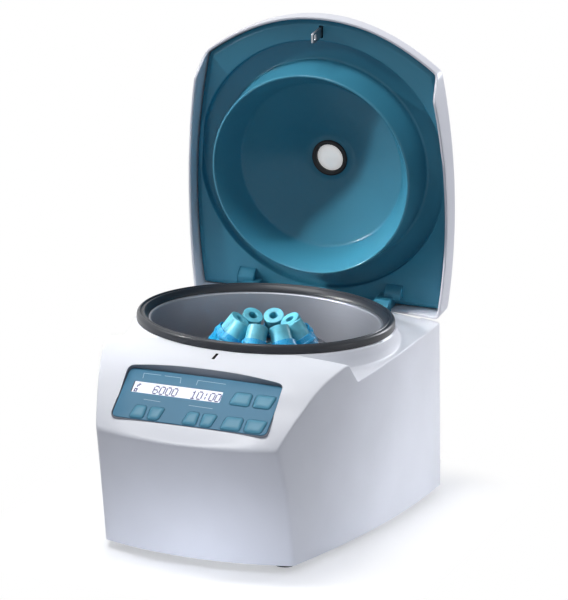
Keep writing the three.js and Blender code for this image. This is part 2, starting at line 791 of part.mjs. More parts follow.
// Lid liner: a plate with a groove over the gasket, a boss into the chamber and a dish up to the port
function lidLiner() {
  const t = linerSheet;
  const centre = turned([
    [portBoreRadius, dishSeatZ],
    [dishSeatRadius, dishSeatZ],
    [dishFootRadius, dishFootZ],
    [lipRadius - lipWidth, lipZ + lipChamfer],
    [lipRadius - lipWidth + lipChamfer, lipZ],
    [lipRadius - lipChamfer, lipZ],
    [lipRadius, lipZ + lipChamfer],
    [bossRootRadius, grooveZ],
    [grooveRadius, grooveZ],
    [grooveRadius, linerPlateZ],
    [grooveRadius + t, linerPlateZ],
    [grooveRadius + t, grooveZ + t],
    [bossRootRadius - t, grooveZ + t],
    [lipRadius - lipWidth / 2, lipZ + lipDepth],
    [dishFootRadius + t, dishFootZ + t],
    [dishSeatRadius + t / 2, dishSeatZ + t],
    [portBoreRadius, dishSeatZ + t],
  ]);
  const plate = raised(lidOutline(lidWall + linerGap), linerPlateZ, linerPlateZ + t);
  const hole = cylinder(grooveRadius + t / 2, linerPlateZ - t, grooveZ, roundSteps);
  const slot = box(
    -hookSheet / 2 - slotPlay, hookSheet / 2 + slotPlay,
    hookY - hookWidth / 2 - slotPlay, hookY + hookWidth / 2 + slotPlay,
    linerPlateZ - t, linerPlateZ + 2 * t,
  );
  return plate.subtract(hole).add(centre).subtract(slot);
}

function portGrommet() {
  const inner = portRadius + seatGap;
  const flange = portFlangeRadius;
  const neck = portBoreRadius - seatGap;
  return turned([
    [inner - portLip, dishSeatZ - portFlange - seatGap],
    [flange, dishSeatZ - portFlange - seatGap],
    [flange, dishSeatZ - seatGap],
    [neck, dishSeatZ - seatGap],
    [neck, lidTopZ - lidWall - seatGap],
    [flange, lidTopZ - lidWall],
    [flange, lidTopZ],
    [inner, lidTopZ],
    [inner, portWindowZ - seatGap],
    [inner - portLip, portWindowZ - seatGap],
  ], drumSteps);
}

function portWindow() {
  return cylinder(portRadius, portWindowZ, portWindowZ + portWindowThickness);
}

function lidHook() {
  const halfX = hookSheet / 2;
  const frontY = hookY - hookWidth / 2;
  const footBottom = linerPlateZ + linerSheet + seatGap;
  const footY = frontY - hookFootLap;
  const blade = box(-halfX, halfX, frontY, hookY + hookWidth / 2, hookTipZ, linerPlateZ - seatGap);
  const footRear = footY + hookFootLength;
  const neck = box(-halfX, halfX, frontY, footRear, linerPlateZ - hookSheet, footBottom + hookSheet);
  const opening = box(
    -overrun, overrun, hookY - hookWindow / 2, hookY + hookWindow / 2,
    hookTipZ + hookWindowUp, hookTipZ + hookWindowUp + hookWindow,
  );
  const foot = box(
    -hookFootWidth / 2, hookFootWidth / 2, footY, footRear, footBottom, footBottom + hookSheet,
  );
  return blade.subtract(opening).add(neck).add(foot);
}

// Hinge arm: hangs from the liner's plate and turns on the pin
function hingeArm(x) {
  const half = armWidth / 2;
  const top = linerPlateZ - seatGap;
  const shape = new THREE.Shape();
  shape.moveTo(hingeY - armReach, top);
  shape.lineTo(hingeY - armReach, hingeZ);
  shape.lineTo(hingeY - armReach + armBossRadius, hingeZ - armBossRadius);
  shape.lineTo(hingeY, hingeZ - armBossRadius);
  shape.absarc(hingeY, hingeZ, armBossRadius, -Math.PI / 2, Math.PI / 2, false);
  shape.lineTo(hingeY - armReach + armFoot, hingeZ + armBossRadius);
  shape.lineTo(hingeY - armReach + armFoot, top);
  const hole = new THREE.Path();
  hole.absarc(hingeY, hingeZ, pinRadius + seatGap, 0, 2 * Math.PI, true);
  shape.holes.push(hole);
  const settings = { depth: armWidth, bevelEnabled: false, curveSegments: rodSteps / 2 };
  const geometry = new THREE.ExtrudeGeometry(shape, settings);
  return solidFrom(alongX(geometry).translate(x - half, 0, 0));
}

// Hinge bracket: a plate on the rear wall with two ears, and the pin through them
function hingeBracket(x) {
  const inner = armWidth / 2 + slideGap;
  const back = rearY - wall - seatGap;
  const plateTop = ledgeZ - wall - seatGap;
  const plate = box(
    x - bracketHalfWidth, x + bracketHalfWidth, back - bracketSheet, back, bracketBottomZ, plateTop,
  );
  let bracket = plate;
  [-1, 1].forEach((side) => {
    const near = x + side * inner;
    const far = near + side * bracketSheet;
    bracket = bracket.add(
      box(
        Math.min(near, far), Math.max(near, far), hingeY - armBossRadius, back,
        plateTop - 2 * armBossRadius, hingeZ + pinRadius + bracketSheet,
      ),
    );
  });
  const pin = cylinder(pinRadius, x - inner - bracketSheet, x + inner + bracketSheet, rodSteps);
  const lay = new THREE.Matrix4().makeRotationY(90 * degrees);
  lay.setPosition(0, hingeY, hingeZ);
  return bracket.add(pin.transform(lay.elements));
}

// Lid lock: housing block and the latch that slides through the hook's window
function latchBox(play, x0, x1) {
  const middle = hookTipZ + hookWindowUp + hookWindow / 2;
  return box(
    x0, x1, hookY - latchWidth / 2 - play, hookY + latchWidth / 2 + play,
    middle - latchHeight / 2 - play, middle + latchHeight / 2 + play,
  );
}

function lockBody() {
  const halfX = hookSheet / 2 + slotPlay;
  const halfY = hookWidth / 2 + slotPlay;
  const underShell = bodySolid(wall + seatGap, footHeight);
  const whole = box(-lockWidth / 2, lockWidth / 2, hookY - lockFront, hookY + lockRear, lockBottomZ, crestZ);
  const well = box(-halfX, halfX, hookY - halfY, hookY + halfY, hookTipZ - slotPlay, crestZ + overrun);
  const bore = latchBox(slideGap, -lockWidth / 4, lockWidth / 2 + overrun);
  return whole.intersect(underShell).subtract(well).subtract(bore);
}

function lockLatch() {
  const start = hookSheet / 2 + slotPlay + slideGap;
  return latchBox(0, start, start + latchLength);
}

// Rotor
function inPlace(solid, index) {
  const turn = new THREE.Matrix4().makeRotationZ(firstPlace + (index * 2 * Math.PI) / places);
  const tilt = new THREE.Matrix4().makeRotationY(-placeTilt);
  tilt.setPosition(sleeveMouthRadius, 0, sleeveMouthZ);
  return solid.transform(turn.multiply(tilt).elements);
}

function sleeve() {
  const inner = sleeveRadius - sleeveWall;
  return turned([
    [0, -sleeveLength],
    [sleeveRadius * tubeFootShare, -sleeveLength],
    [sleeveRadius, -sleeveLength + sleeveRadius * tubeFootShare],
    [sleeveRadius, -sleeveRimHeight],
    [sleeveRimRadius, -sleeveRimHeight],
    [sleeveRimRadius, 0],
    [inner, 0],
    [inner, -sleeveLength + sleeveWall + inner * tubeFootShare],
    [inner * tubeFootShare, -sleeveLength + sleeveWall],
    [0, -sleeveLength + sleeveWall],
  ], placeSteps);
}

function insert() {
  const foot = -sleeveLength + sleeveWall + seatGap;
  return turned([
    [0, foot],
    [insertRadius * tubeFootShare, foot],
    [insertRadius, foot + insertRadius * tubeFootShare],
    [insertRadius, insertRise - insertChamfer],
    [insertRadius - insertChamfer, insertRise],
    [insertHoleRadius, insertRise],
    [insertHoleRadius, insertRise - insertHoleDepth],
    [0, insertRise - insertHoleDepth],
  ], placeSteps);
}

function rotorBody() {
  const spread = (rotorTopZ - rotorBottomZ) * Math.tan(placeTilt);
  const edge = rotorTopRadius + spread;
  const bore = shaftRadius + seatGap;
  let body = turned([
    [bore, rotorHubBottomZ],
    [rotorHubRadius, rotorHubBottomZ],
    [rotorHubRadius, rotorBottomZ],
    [edge - rotorChamfer, rotorBottomZ],
    [edge, rotorBottomZ + rotorChamfer],
    [rotorTopRadius + rotorChamfer, rotorTopZ - rotorChamfer],
    [rotorTopRadius, rotorTopZ],
    [rotorWellRadius, rotorTopZ],
    [rotorWellFloorRadius, rotorTopZ - rotorWellDepth],
    [bore, rotorTopZ - rotorWellDepth],
  ]);
  const step = -sleeveRimHeight - seatGap;
  const drill = cylinder(sleeveRadius + seatGap, -sleeveLength - overrun, step, placeSteps);
  const seat = cylinder(sleeveRimRadius + seatGap, step, overrun, placeSteps);
  for (let i = 0; i < places; i += 1) {
    body = body.subtract(inPlace(drill.add(seat), i));
  }
  return body;
}

function rotorNut() {
  const seat = rotorTopZ - rotorWellDepth + seatGap;
  const hex = cylinder(nutRadius, seat, seat + nutHeight, nutSides);
  return hex.subtract(cylinder(shaftRadius + seatGap, seat - seatGap, shaftTopZ + seatGap, rodSteps));
}

function motorShaft() {
  const rod = cylinder(shaftRadius, motorNeckZ + seatGap, shaftTopZ, rodSteps);
  const collarTop = rotorHubBottomZ - seatGap;
  return rod.add(cylinder(shaftCollarRadius, collarTop - shaftCollarHeight, collarTop, rodSteps));
}

// Drive in the base
function motor() {
  return turned([
    [0, motorBottomZ + seatGap],
    [motorRadius - motorChamfer, motorBottomZ + seatGap],
    [motorRadius, motorBottomZ + motorChamfer],
    [motorRadius, motorTopZ - motorChamfer],
    [motorRadius - motorChamfer, motorTopZ],
    [motorNeckRadius, motorTopZ],
    [motorNeckRadius, motorNeckZ],
    [0, motorNeckZ],
  ], drumSteps);
}

function motorMount() {
  const legTop = motorBottomZ - mountSheet;
  let mount = cylinder(mountRadius, legTop, motorBottomZ);
  for (let i = 0; i < dampers; i += 1) {
    const angle = (i * 2 * Math.PI) / dampers;
    const radius = mountRadius - damperRadius;
    const leg = cylinder(damperRadius, footHeight + traySheet + seatGap, legTop + mountSheet / 2, rodSteps);
    mount = mount.add(leg.translate([radius * Math.cos(angle), radius * Math.sin(angle), 0]));
  }
  return mount;
}

function shaftBoot() {
  const top = chamberFloorZ - seatGap;
  const bottom = motorTopZ + seatGap;
  const inner = motorNeckRadius + seatGap;
  return turned([
    [inner, bottom],
    [inner + bootFoot, bottom],
    [bootRadius, (bottom + top) / 2],
    [bootRadius, top],
    [bootRadius - bootSheet, top],
    [inner, mix(bottom, top, bootThroatShare)],
  ], drumSteps);
}

function powerBoard() {
  const boardZ = footHeight + traySheet + supplyStandoff;
  const y0 = -supplyHalfY;
  const x0 = supplyX - supplyHalfX;
  const x1 = supplyX + supplyHalfX;
  const x2 = x0 + supplyInset;
  const x3 = x1 - supplyInset;
  const inBoard = boardZ + boardSheet / 2;
  let board = box(x0, x1, y0, supplyHalfY, boardZ, boardZ + boardSheet);
  board = board.add(box(x2, x3, y0 + supplyInset, 0, inBoard, boardZ + supplyHeight));
  const standoff = cylinder(standoffRadius, footHeight + traySheet + seatGap, inBoard, rodSteps);
  [x2, x3].forEach((x) => {
    [y0 + supplyInset, supplyHalfY - supplyInset].forEach((y) => {
      board = board.add(standoff.translate([x, y, 0]));
    });
  });
  return board;
}

// Rear panel and what it holds
function rearPanel() {
  const back = rearY - wall - seatGap;
  let sheet = box(
    -rearOpeningHalf - rearLap, rearOpeningHalf + rearLap, back - rearSheet, back,
    rearOpeningBottomZ - rearLap, rearOpeningTopZ + rearLap,
  );
  for (let i = 0; i < louvres; i += 1) {
    const z = (rearOpeningBottomZ + rearOpeningTopZ) / 2 + (i - (louvres - 1) / 2) * louvrePitch;
    sheet = sheet.subtract(
      box(
        louvreX - louvreWidth / 2, louvreX + louvreWidth / 2, back - overrun, back + overrun,
        z - louvreHeight / 2, z + louvreHeight / 2,
      ),
    );
  }
  const hole = (x, width, height) =>
    box(
      x - width / 2 - seatGap, x + width / 2 + seatGap, back - overrun, back + overrun,
      inletZ - height / 2 - seatGap, inletZ + height / 2 + seatGap,
    );
  const inletHole = hole(inletX, inletWidth, inletHeight);
  return sheet.subtract(inletHole).subtract(hole(switchX, switchWidth, switchHeight));
}

function flangedBlock(x, width, height, depth) {
  const front = rearY - wall;
  const lap = inletFlange;
  const halfX = width / 2;
  const halfZ = height / 2;
  const body = box(x - halfX, x + halfX, front - depth, front, inletZ - halfZ, inletZ + halfZ);
  const flange = box(
    x - halfX - lap, x + halfX + lap, front, front + lap, inletZ - halfZ - lap, inletZ + halfZ + lap,
  );
  return body.add(flange);
}

function socketZ() {
  return inletZ + inletHeight / 2 - inletBar - socketHeight / 2;
}

function drawerZ() {
  return inletZ - inletHeight / 2 + inletBar + drawerHeight / 2;
}

function mainsInlet() {
  const front = rearY - wall + inletFlange;
  const socket = box(
    inletX - socketWidth / 2, inletX + socketWidth / 2, front - socketDepth, front + overrun,
    socketZ() - socketHeight / 2, socketZ() + socketHeight / 2,
  );
  const bay = box(
    inletX - socketWidth / 2 - slideGap, inletX + socketWidth / 2 + slideGap,
    front - socketDepth, front + overrun,
    drawerZ() - drawerHeight / 2 - slideGap, drawerZ() + drawerHeight / 2 + slideGap,
  );
  let inlet = flangedBlock(inletX, inletWidth, inletHeight, inletDepth).subtract(socket).subtract(bay);
  [-1, 0, 1].forEach((i) => {
    const x = inletX + i * bladePitch;
    const z = socketZ() + (i === 0 ? bladeOffset : -bladeOffset);
    inlet = inlet.add(
      box(
        x - bladeThickness / 2, x + bladeThickness / 2,
        front - socketDepth - bladeThickness, front - bladeRecess,
        z - bladeHeight / 2, z + bladeHeight / 2,
      ),
    );
  });
  return inlet;
}

function fuseDrawer() {
  const front = rearY - wall + inletFlange;
  return box(
    inletX - socketWidth / 2, inletX + socketWidth / 2, front - socketDepth + seatGap, front + slideGap,
    drawerZ() - drawerHeight / 2, drawerZ() + drawerHeight / 2,
  );
}

function switchBay() {
  return { halfX: switchWidth / 2 - switchBar, halfZ: switchHeight / 2 - switchBar };
}

function switchFrame() {
  const front = rearY - wall + inletFlange;
  const { halfX, halfZ } = switchBay();
  return flangedBlock(switchX, switchWidth, switchHeight, inletDepth).subtract(
    box(
      switchX - halfX, switchX + halfX, front - socketDepth, front + overrun, inletZ - halfZ, inletZ + halfZ,
    ),
  );
}

// The rocker tips about an axis along X inside the switch frame
function powerRocker() {
  const { halfX, halfZ } = switchBay();
  const pivotY = rearY - wall + inletFlange - socketDepth / 2;
  const reach = socketDepth / 2 + rockerProud;
  const swing = reach * rockerShares[0][0] * Math.sin(rockerTilt);
  const tip = (halfZ - slideGap) * Math.cos(rockerTilt) - swing;
  const outline = [
    [-rockerHubHalf, rockerHubHalf],
    [-rockerHubHalf, -rockerHubHalf],
    ...rockerShares.map(([out, up]) => [reach * out, tip * up]),
  ];
  const shape = new THREE.Shape(outline.map(([y, z]) => new THREE.Vector2(y, z)));
  const depth = 2 * (halfX - slideGap);
  const geometry = new THREE.ExtrudeGeometry(shape, { depth, bevelEnabled: false });
  const upright = alongX(geometry).translate(-depth / 2, 0, 0);
  return solidFrom(upright.rotateX(rockerTilt).translate(switchX, pivotY, inletZ));
}

// Assembly
function fixedPieces() {
  const group = new THREE.Group();
  group.add(
    node("housing", housing(), housingPlastic),
    node("base_tray", baseTray(), steelSheet),
    node("chamber_bowl", chamber(), steelSheet),
    node("rim_gasket", rimGasket(), gasketRubber),
    node("control_panel", controlPanel(), panelFoil),
    node("display_module", displayModule(), displayGlass),
    node("control_board", controlBoard(), boardLaminate),
    node("lock_body", lockBody(), blackPlastic),
    node("lock_latch", lockLatch(), steelSheet),
    node("hinge_bracket_left", hingeBracket(-armX), steelSheet),
    node("hinge_bracket_right", hingeBracket(armX), steelSheet),
    node("motor", motor(), darkAluminium),
    node("motor_mount", motorMount(), steelSheet),
    node("shaft_boot", shaftBoot(), blackRubber),
    node("power_board", powerBoard(), boardLaminate),
    node("rear_panel", rearPanel(), steelSheet),
    node("mains_inlet", mainsInlet(), blackPlastic),
    node("fuse_drawer", fuseDrawer(), blackPlastic),
    node("switch_frame", switchFrame(), blackPlastic),
    node("power_rocker", powerRocker(), blackPlastic),
  );
  footPlaces().forEach(([x, y], i) => {
    group.add(node(`foot_${i + 1}`, foot().translate([x, y, 0]), blackRubber));
  });
  keyList().forEach((key, i) => group.add(node(`key_${i + 1}`, controlKey(key), keyFoil)));
  return group;
}

function rotorPieces() {
  const group = new THREE.Group();
  group.add(
    node("motor_shaft", motorShaft(), steelSheet),
    node("rotor_body", rotorBody(), darkAluminium),
    node("rotor_nut", rotorNut(), steelSheet),
  );
  for (let i = 0; i < places; i += 1) {
    group.add(node(`sleeve_${i + 1}`, inPlace(sleeve(), i), bluePlastic));
    group.add(node(`insert_${i + 1}`, inPlace(insert(), i), turquoisePlastic));
  }
  return group;
}

// The lid's pieces are modelled shut and then turned open about the hinge axis
function lidPieces() {
  const shut = new THREE.Group();
  shut.add(
    node("lid_shell", lidShell(), lidPlastic),
    node("lid_liner", lidLiner(), linerPlastic),
    node("lid_hook", lidHook(), steelSheet),
    node("port_grommet", portGrommet(), blackRubber),
    node("port_window", portWindow(), portGlass),
    node("hinge_arm_left", hingeArm(-armX), linerPlastic),
    node("hinge_arm_right", hingeArm(armX), linerPlastic),
  );
  shut.position.set(0, -hingeY, -hingeZ);
  const hinge = new THREE.Group();
  hinge.position.set(0, hingeY, hingeZ);
  hinge.rotation.x = -lidOpening;
  hinge.add(shut);
  return hinge;
}

const centrifuge = new THREE.Group();
centrifuge.add(fixedPieces(), rotorPieces(), lidPieces());
const bounds = new THREE.Box3().setFromObject(centrifuge, true);
centrifuge.position.y = -(bounds.min.y + bounds.max.y) / 2;

export default centrifuge;
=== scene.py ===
"""Benchtop centrifuge with its lid open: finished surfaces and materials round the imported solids.

Lengths are millimetres in the build's own frame, whose rotor axis is x = 0, y = 0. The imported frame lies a
little further along Y, and metres() moves a point there. Where a value is in metres, a comment says so.
"""
import json
import math

import bmesh
import bpy
import numpy as np
from mathutils import Matrix, Vector


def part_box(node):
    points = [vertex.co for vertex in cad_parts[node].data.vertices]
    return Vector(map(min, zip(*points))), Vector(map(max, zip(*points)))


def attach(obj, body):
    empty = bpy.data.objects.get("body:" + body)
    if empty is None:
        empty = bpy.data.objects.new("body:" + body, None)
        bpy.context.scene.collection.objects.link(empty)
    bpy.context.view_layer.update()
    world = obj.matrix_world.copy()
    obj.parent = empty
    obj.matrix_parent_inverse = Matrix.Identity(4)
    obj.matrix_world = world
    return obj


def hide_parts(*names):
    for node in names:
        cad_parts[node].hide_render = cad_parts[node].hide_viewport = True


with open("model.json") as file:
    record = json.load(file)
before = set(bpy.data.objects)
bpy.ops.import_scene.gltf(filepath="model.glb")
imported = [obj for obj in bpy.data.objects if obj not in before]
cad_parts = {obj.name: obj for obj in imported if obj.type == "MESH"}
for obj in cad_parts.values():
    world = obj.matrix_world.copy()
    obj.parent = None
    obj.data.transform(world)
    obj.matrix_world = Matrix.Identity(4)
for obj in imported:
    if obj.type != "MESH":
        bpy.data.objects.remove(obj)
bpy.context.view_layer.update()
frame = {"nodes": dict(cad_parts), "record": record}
BOWL_LOW, BOWL_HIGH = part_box("chamber_bowl")
SHIFT_Y = (BOWL_LOW.y + BOWL_HIGH.y) / 2 * 1000

# Housing: the line from the foot over the crease, the crest and the deck to the rear
FOOT_HEIGHT = 7.0
WALL = 3.0
BOTTOM_FRONT_Y = -156.9
CREASE_Y = -199.4
CREASE_Z = 122.2
CREST_Y = -101.4
CREST_Z = 181.5
TROUGH_Y = -81.2
TROUGH_Z = 161.5
DECK_MID_Y = 45.0
DECK_MID_Z = 169.5
DECK_REAR_Z = 164.5
REAR_Y = 147.0
FRONT_BOW = 17.0
# Crowns across the width: a power of 2 is a plain arc, and a higher one is flatter with rounder shoulders
APRON_CROWN = 7.0
APRON_POWER = 3.2
DECK_CROWN = 10.0
DECK_POWER = 2.0
# Reach over which the line's corners are rounded
PROFILE_SOFTENING = 3.0
# Shares of the way out and up from the foot to the crease
LOWER_SHARES = [(0, 0), (0.28, 0.34), (0.53, 0.63), (0.8, 0.85), (1, 1)]
# Shares of the way back and up from the crease to the crest, and of the bow and the crown there
APRON_SHARES = [
    (0.1, 0.19, 0.37, 0), (0.21, 0.36, 0.32, 0.14), (0.33, 0.52, 0.32, 0.4), (0.47, 0.69, 0.38, 0.95),
    (0.65, 0.85, 0.43, 0.95), (0.8, 0.93, 0.35, 0.85), (0.92, 0.98, 0.16, 0.62), (1, 1, 0, 0.5),
]

# Housing: half widths where it is widest, and the divisors of the parabolas that draw the sides in from there
DECK_HALF_W = 129.5
DECK_WIDEST_Y = 39
DECK_SIDE_BOW = 1400
BOTTOM_HALF_W = 130.5
BOTTOM_WIDEST_Y = 140
BOTTOM_SIDE_BOW = 2154
REAR_HALF_W = 122

# Housing: collar round the chamber's mouth, which flares out into the deck
COLLAR_TOP_Z = 184.4
COLLAR_TOP_R = 119.43
MOUTH_R = 107.73
MOUTH_WALL_Z = 150
MOUTH_CHAMFER_W = 0.8
MOUTH_CHAMFER_H = 1.0
COLLAR_LAND = 2
# Radius and height of points down the flare
FLARE = [
    (COLLAR_TOP_R, COLLAR_TOP_Z), (120.4, 183.2), (121.5, 180.5), (123.4, 175.0), (125.6, 169.5),
    (129, 165.0), (134, 160.0), (140, 152.0), (150, 130.0), (170, 60.0),
]
FLARE_BLEND = 3.0
FLARE_START = 3.0
# Right beside the collar nothing rises faster than this, so that the collar's edge stays clean
CEILING_Z = 400
CEILING_REACH = 20
# Beyond this X the flare is tighter, because the shut lid's rim comes close to it there
TIGHT_X = 112
TIGHT_REACH = 8
TIGHT_PULL = 1.4
TIGHT_BLEND_CUT = 1.8

# Housing: rows, columns and edge rounds of the skin
FRONT_COLUMNS = 46
SIDE_COLUMNS = 150
REAR_COLUMNS = 40
CORNER_COLUMNS = 6
TOP_ROWS = 46
SIDE_ROWS = 26
ROUND_ROWS = 6
# The rows lie closer near the collar: a power of the way out, mixed with an even spread
COLLAR_CLOSENESS = 2.2
EVEN_SHARE = 0.35
LARGEST_ROUND_SHARE = 0.45
CORNER_SIZE = 3.4
CREASE_ROUND = 2.8
FRONT_CORNER_ROUND = 1.6
APRON_SIDE_ROUND = 1.7
DECK_SIDE_ROUND = 1.1
REAR_CORNER_ROUND = 1.4
REAR_ROUND = 1.6
# The side takes up the front's curve over this share of its length
FRONT_FADE_SHARE = 0.25

# Housing: openings, cut with boxes that run on well past the skin
PAST_TOP_Z = 200
PAST_REAR_Y = 160
SLOT_HALF_X = 1.5
SLOT_HALF_Y = 6.1
SLOT_LOW_Z = 150
ARM_X = 67
ARM_OPENING_HALF_X = 10.3
ARM_OPENING_FRONT_Y = 118.6
ARM_OPENING_REAR_Y = 144
ARM_OPENING_LOW_Z = 144
LEDGE_HALF_X = 104
LEDGE_Y = 138.8
LEDGE_DEPTH = 8.0
LEDGE_Z = 164
LEDGE_WALL = 2.95
LEDGE_DROP = 0.05
REAR_OPENING_HALF_X = 98
REAR_OPENING_Y = 140
REAR_OPENING_LOW_Z = 22
REAR_OPENING_HIGH_Z = 120

# Lid, in its shut place
HINGE_Y = 137.6
HINGE_Z = 165.6
LID_OPENING = math.radians(83.2)
LID_REAR_Y = 134.6
HOOK_Y = -131.03
LID_ARC_Y = HOOK_Y - 15.4
LID_TOP_Z = 228.0
LID_WALL = 2.5
LID_GAP = 1.5
LID_STEPS = 320
PLATE_Z = 184.6
SHOULDER_Z = 193.0
DOME_POWER = 2.6
DOME_FULLNESS = 0.52
DOME_ROWS = 61
DOME_EDGE_POWER = 2.4
PORT_R = 17.9
PORT_TAPER = 0.2
# The rim's height is taken a little inside the outline, and once more behind the wall for the flare
RIM_SAMPLE_SHARE = 0.995
RIM_BEHIND = 0.3
FLARE_GAP = 0.6

# Control panel, and the recess that it lies in, whose upper wall leans back by an arc as it rises
PANEL_Y = -172.9
PANEL_Z = 151.3
PANEL_TILT = math.radians(37.6)
PANEL_W = 145.0
PANEL_H = 55.4
PANEL_R = 6.0
PANEL_THICKNESS = 1.2
PANEL_EDGE_ROUND = 0.3
RECESS_EDGE = 0.7
RECESS_ARC = 4.0
RECESS_ARC_HALF = 68.0
RECESS_RISE = 6.1
RECESS_STEPS = 240
RECESS_HEIGHTS = (-12, 0, 4, 8, 2 * RECESS_RISE, 40)

# Rotor
PLACES = 8
FIRST_PLACE = math.radians(3.3)
PLACE_TILT = math.radians(35)
MOUTH_RING = 36.0
MOUTH_RING_Z = 168.4

# Reach in metres within which doubled points are merged
MERGE_REACH = 1e-6


def mix(a, b, share):
    return a + (b - a) * share


def bezier(a, b, c, t):
    return (1 - t) ** 2 * a + 2 * t * (1 - t) * b + t * t * c


def metres(points):
    """Millimetres in the build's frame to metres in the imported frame."""
    p = np.asarray(points, float).reshape(-1, 3)
    return (p + (0, SHIFT_Y, 0)) / 1000


# Materials
def linear(code):
    """An sRGB hex colour as linear red, green, blue and alpha."""
    parts = [int(code[i:i + 2], 16) / 255 for i in (0, 2, 4)]
    return [c / 12.92 if c <= 0.04045 else ((c + 0.055) / 1.055) ** 2.4 for c in parts] + [1.0]


def add(tree, kind, settings=None, **links):
    """A node with its settings, which are attributes or input values, and links to other nodes' sockets.

    A link's name is the input's name with _ for a space, or _ and the input's number."""
    made = tree.nodes.new(kind)
    for key, value in (settings or {}).items():
        if isinstance(key, str) and hasattr(made, key) and key not in made.inputs:
            setattr(made, key, value)
        else:
            made.inputs[key].default_value = value
    for key, source in links.items():
        socket = int(key[1:]) if key[0] == "_" and key[1:].isdigit() else key.replace("_", " ")
        tree.links.new(source, made.inputs[socket])
    return made


def material(name, **shader):
    """A material with one shader node, its tree and that node."""
    made = bpy.data.materials.new(name)
    made.use_nodes = True
    tree = made.node_tree
    tree.nodes.clear()
    target = add(tree, "ShaderNodeOutputMaterial")
    bsdf = add(tree, "ShaderNodeBsdfPrincipled", shader)
    tree.links.new(bsdf.outputs[0], target.inputs[0])
    return made, tree, bsdf


def relief(tree, bsdf, noise, roughness, spread, strength, distance_mm):
    """Fine relief from a noise, with a little change of gloss along with it."""
    bump = add(tree, "ShaderNodeBump", {"Strength": strength, "Distance": distance_mm / 1000},
               Height=noise.outputs["Fac"])
    tree.links.new(bump.outputs[0], bsdf.inputs["Normal"])
    gloss = add(tree, "ShaderNodeMapRange", {"To Min": roughness - spread, "To Max": roughness + spread},
                Value=noise.outputs["Fac"])
    tree.links.new(gloss.outputs[0], bsdf.inputs["Roughness"])


def moulded(name, code, roughness, grain_mm=1.6, strength=0.12, drift=0.03, drift_mm=70, **shader):
    """Moulded plastic or rubber: a spark-eroded grain and a slight drift of tone along the piece.

    The real grain is about a tenth of a millimetre, and is drawn coarser so that it shows."""
    made, tree, bsdf = material(name, **shader)
    where = add(tree, "ShaderNodeTexCoord").outputs["Object"]
    fine = add(tree, "ShaderNodeTexNoise", {"Scale": 1000 / grain_mm, "Detail": 2.0}, Vector=where)
    relief(tree, bsdf, fine, roughness, spread=0.04, strength=strength, distance_mm=0.05)
    cloud = add(tree, "ShaderNodeTexNoise", {"Scale": 1000 / drift_mm, "Detail": 2.0}, Vector=where)
    ramp = add(tree, "ShaderNodeValToRGB", {}, Fac=cloud.outputs["Fac"])
    tone = linear(code)[:3]
    for stop, place, share in zip(ramp.color_ramp.elements, (0.3, 0.7), (1 - drift, 1 + drift)):
        stop.position = place
        stop.color = [min(1, c * share) for c in tone] + [1]
    tree.links.new(ramp.outputs[0], bsdf.inputs["Base Color"])
    return made


def brushed(name, code, roughness, lines_per_mm):
    """Metal with fine lines left by turning or rolling, counted along X, Y and Z.

    Real lines lie some ten to a millimetre, and are drawn further apart so that they show."""
    made, tree, bsdf = material(name, **{"Metallic": 1.0, "Base Color": linear(code)})
    where = add(tree, "ShaderNodeTexCoord")
    place = add(tree, "ShaderNodeMapping", {"Scale": [1000 * lines for lines in lines_per_mm]},
                Vector=where.outputs["Object"])
    noise = add(tree, "ShaderNodeTexNoise", {"Scale": 1.0, "Detail": 3.0}, Vector=place.outputs[0])
    relief(tree, bsdf, noise, roughness, spread=0.06, strength=0.15, distance_mm=0.03)
    return made


# Cool white ABS from an eroded mould: a soft, broad sheen that shows the apron's curves
housing_abs = moulded("white_ABS_moulded", "e9ebf1", 0.36, **{"Specular IOR Level": 0.45})
# Housing ABS greyed to paint the shade that falls on the pocket's walls, so that the pocket reads as a step
# down
pocket_painted_shade = moulded("pocket_ABS_painted_shade", "8d929c", 0.42, **{"Specular IOR Level": 0.4})
# The lid's own moulding of the same ABS, a shade greyer and a little more matt
lid_abs = moulded("white_ABS_moulded_lid", "e4e5ec", 0.38, **{"Specular IOR Level": 0.45})
# Teal ABS from a polished mould: a smooth face with a tight highlight along the dish's edge
liner_abs = moulded("teal_ABS_moulded", "418aa4", 0.25, grain_mm=2.2, strength=0.05, drift=0.05,
                    **{"Specular IOR Level": 0.25})
# Extruded EPDM: near black with a thin grey line of light on each lip
gasket_rubber = moulded("EPDM_rubber_seal", "24282f", 0.34, grain_mm=1.1, strength=0.2,
                        **{"Specular IOR Level": 0.35})
# Moulded rubber of the feet and the grommet: matt black that shows only its outline
black_rubber = moulded("black_rubber", "1c1c1f", 0.7, grain_mm=1.5, strength=0.3)
# Moulded polyamide of the small electrical parts: black with a satin grain
black_plastic = moulded("black_polyamide", "222226", 0.45)
# Moulded polypropylene of the sleeves: a strong blue, waxy and a little uneven in tone
blue_polypropylene = moulded("blue_polypropylene", "0f98cc", 0.28, drift=0.12, drift_mm=16)
# Moulded polypropylene of the inserts: a paler turquoise whose tone wanders, as a milky wall does
turquoise_polypropylene = moulded("turquoise_polypropylene", "5fb6ca", 0.34, drift=0.24, drift_mm=11)
# Printed polyester foil: flat teal with hardly any highlight
foil = moulded("matt_polyester_foil", "4f86a4", 0.42, grain_mm=0.9, strength=0.1,
               **{"Specular IOR Level": 0.2})
# The same foil embossed over the keys: paler, with a small highlight on each pillow
key_foil = moulded("embossed_polyester_foil", "5798b2", 0.36, grain_mm=0.9, strength=0.1,
                   **{"Specular IOR Level": 0.25})
# Ink screened on the foil: thin pale lines without gloss
print_white = moulded("white_foil_print", "a9cbdc", 0.5)
# Glass fibre laminate under green solder mask: an even, dull green
laminate = moulded("circuit_board_laminate", "2f6b46", 0.5)
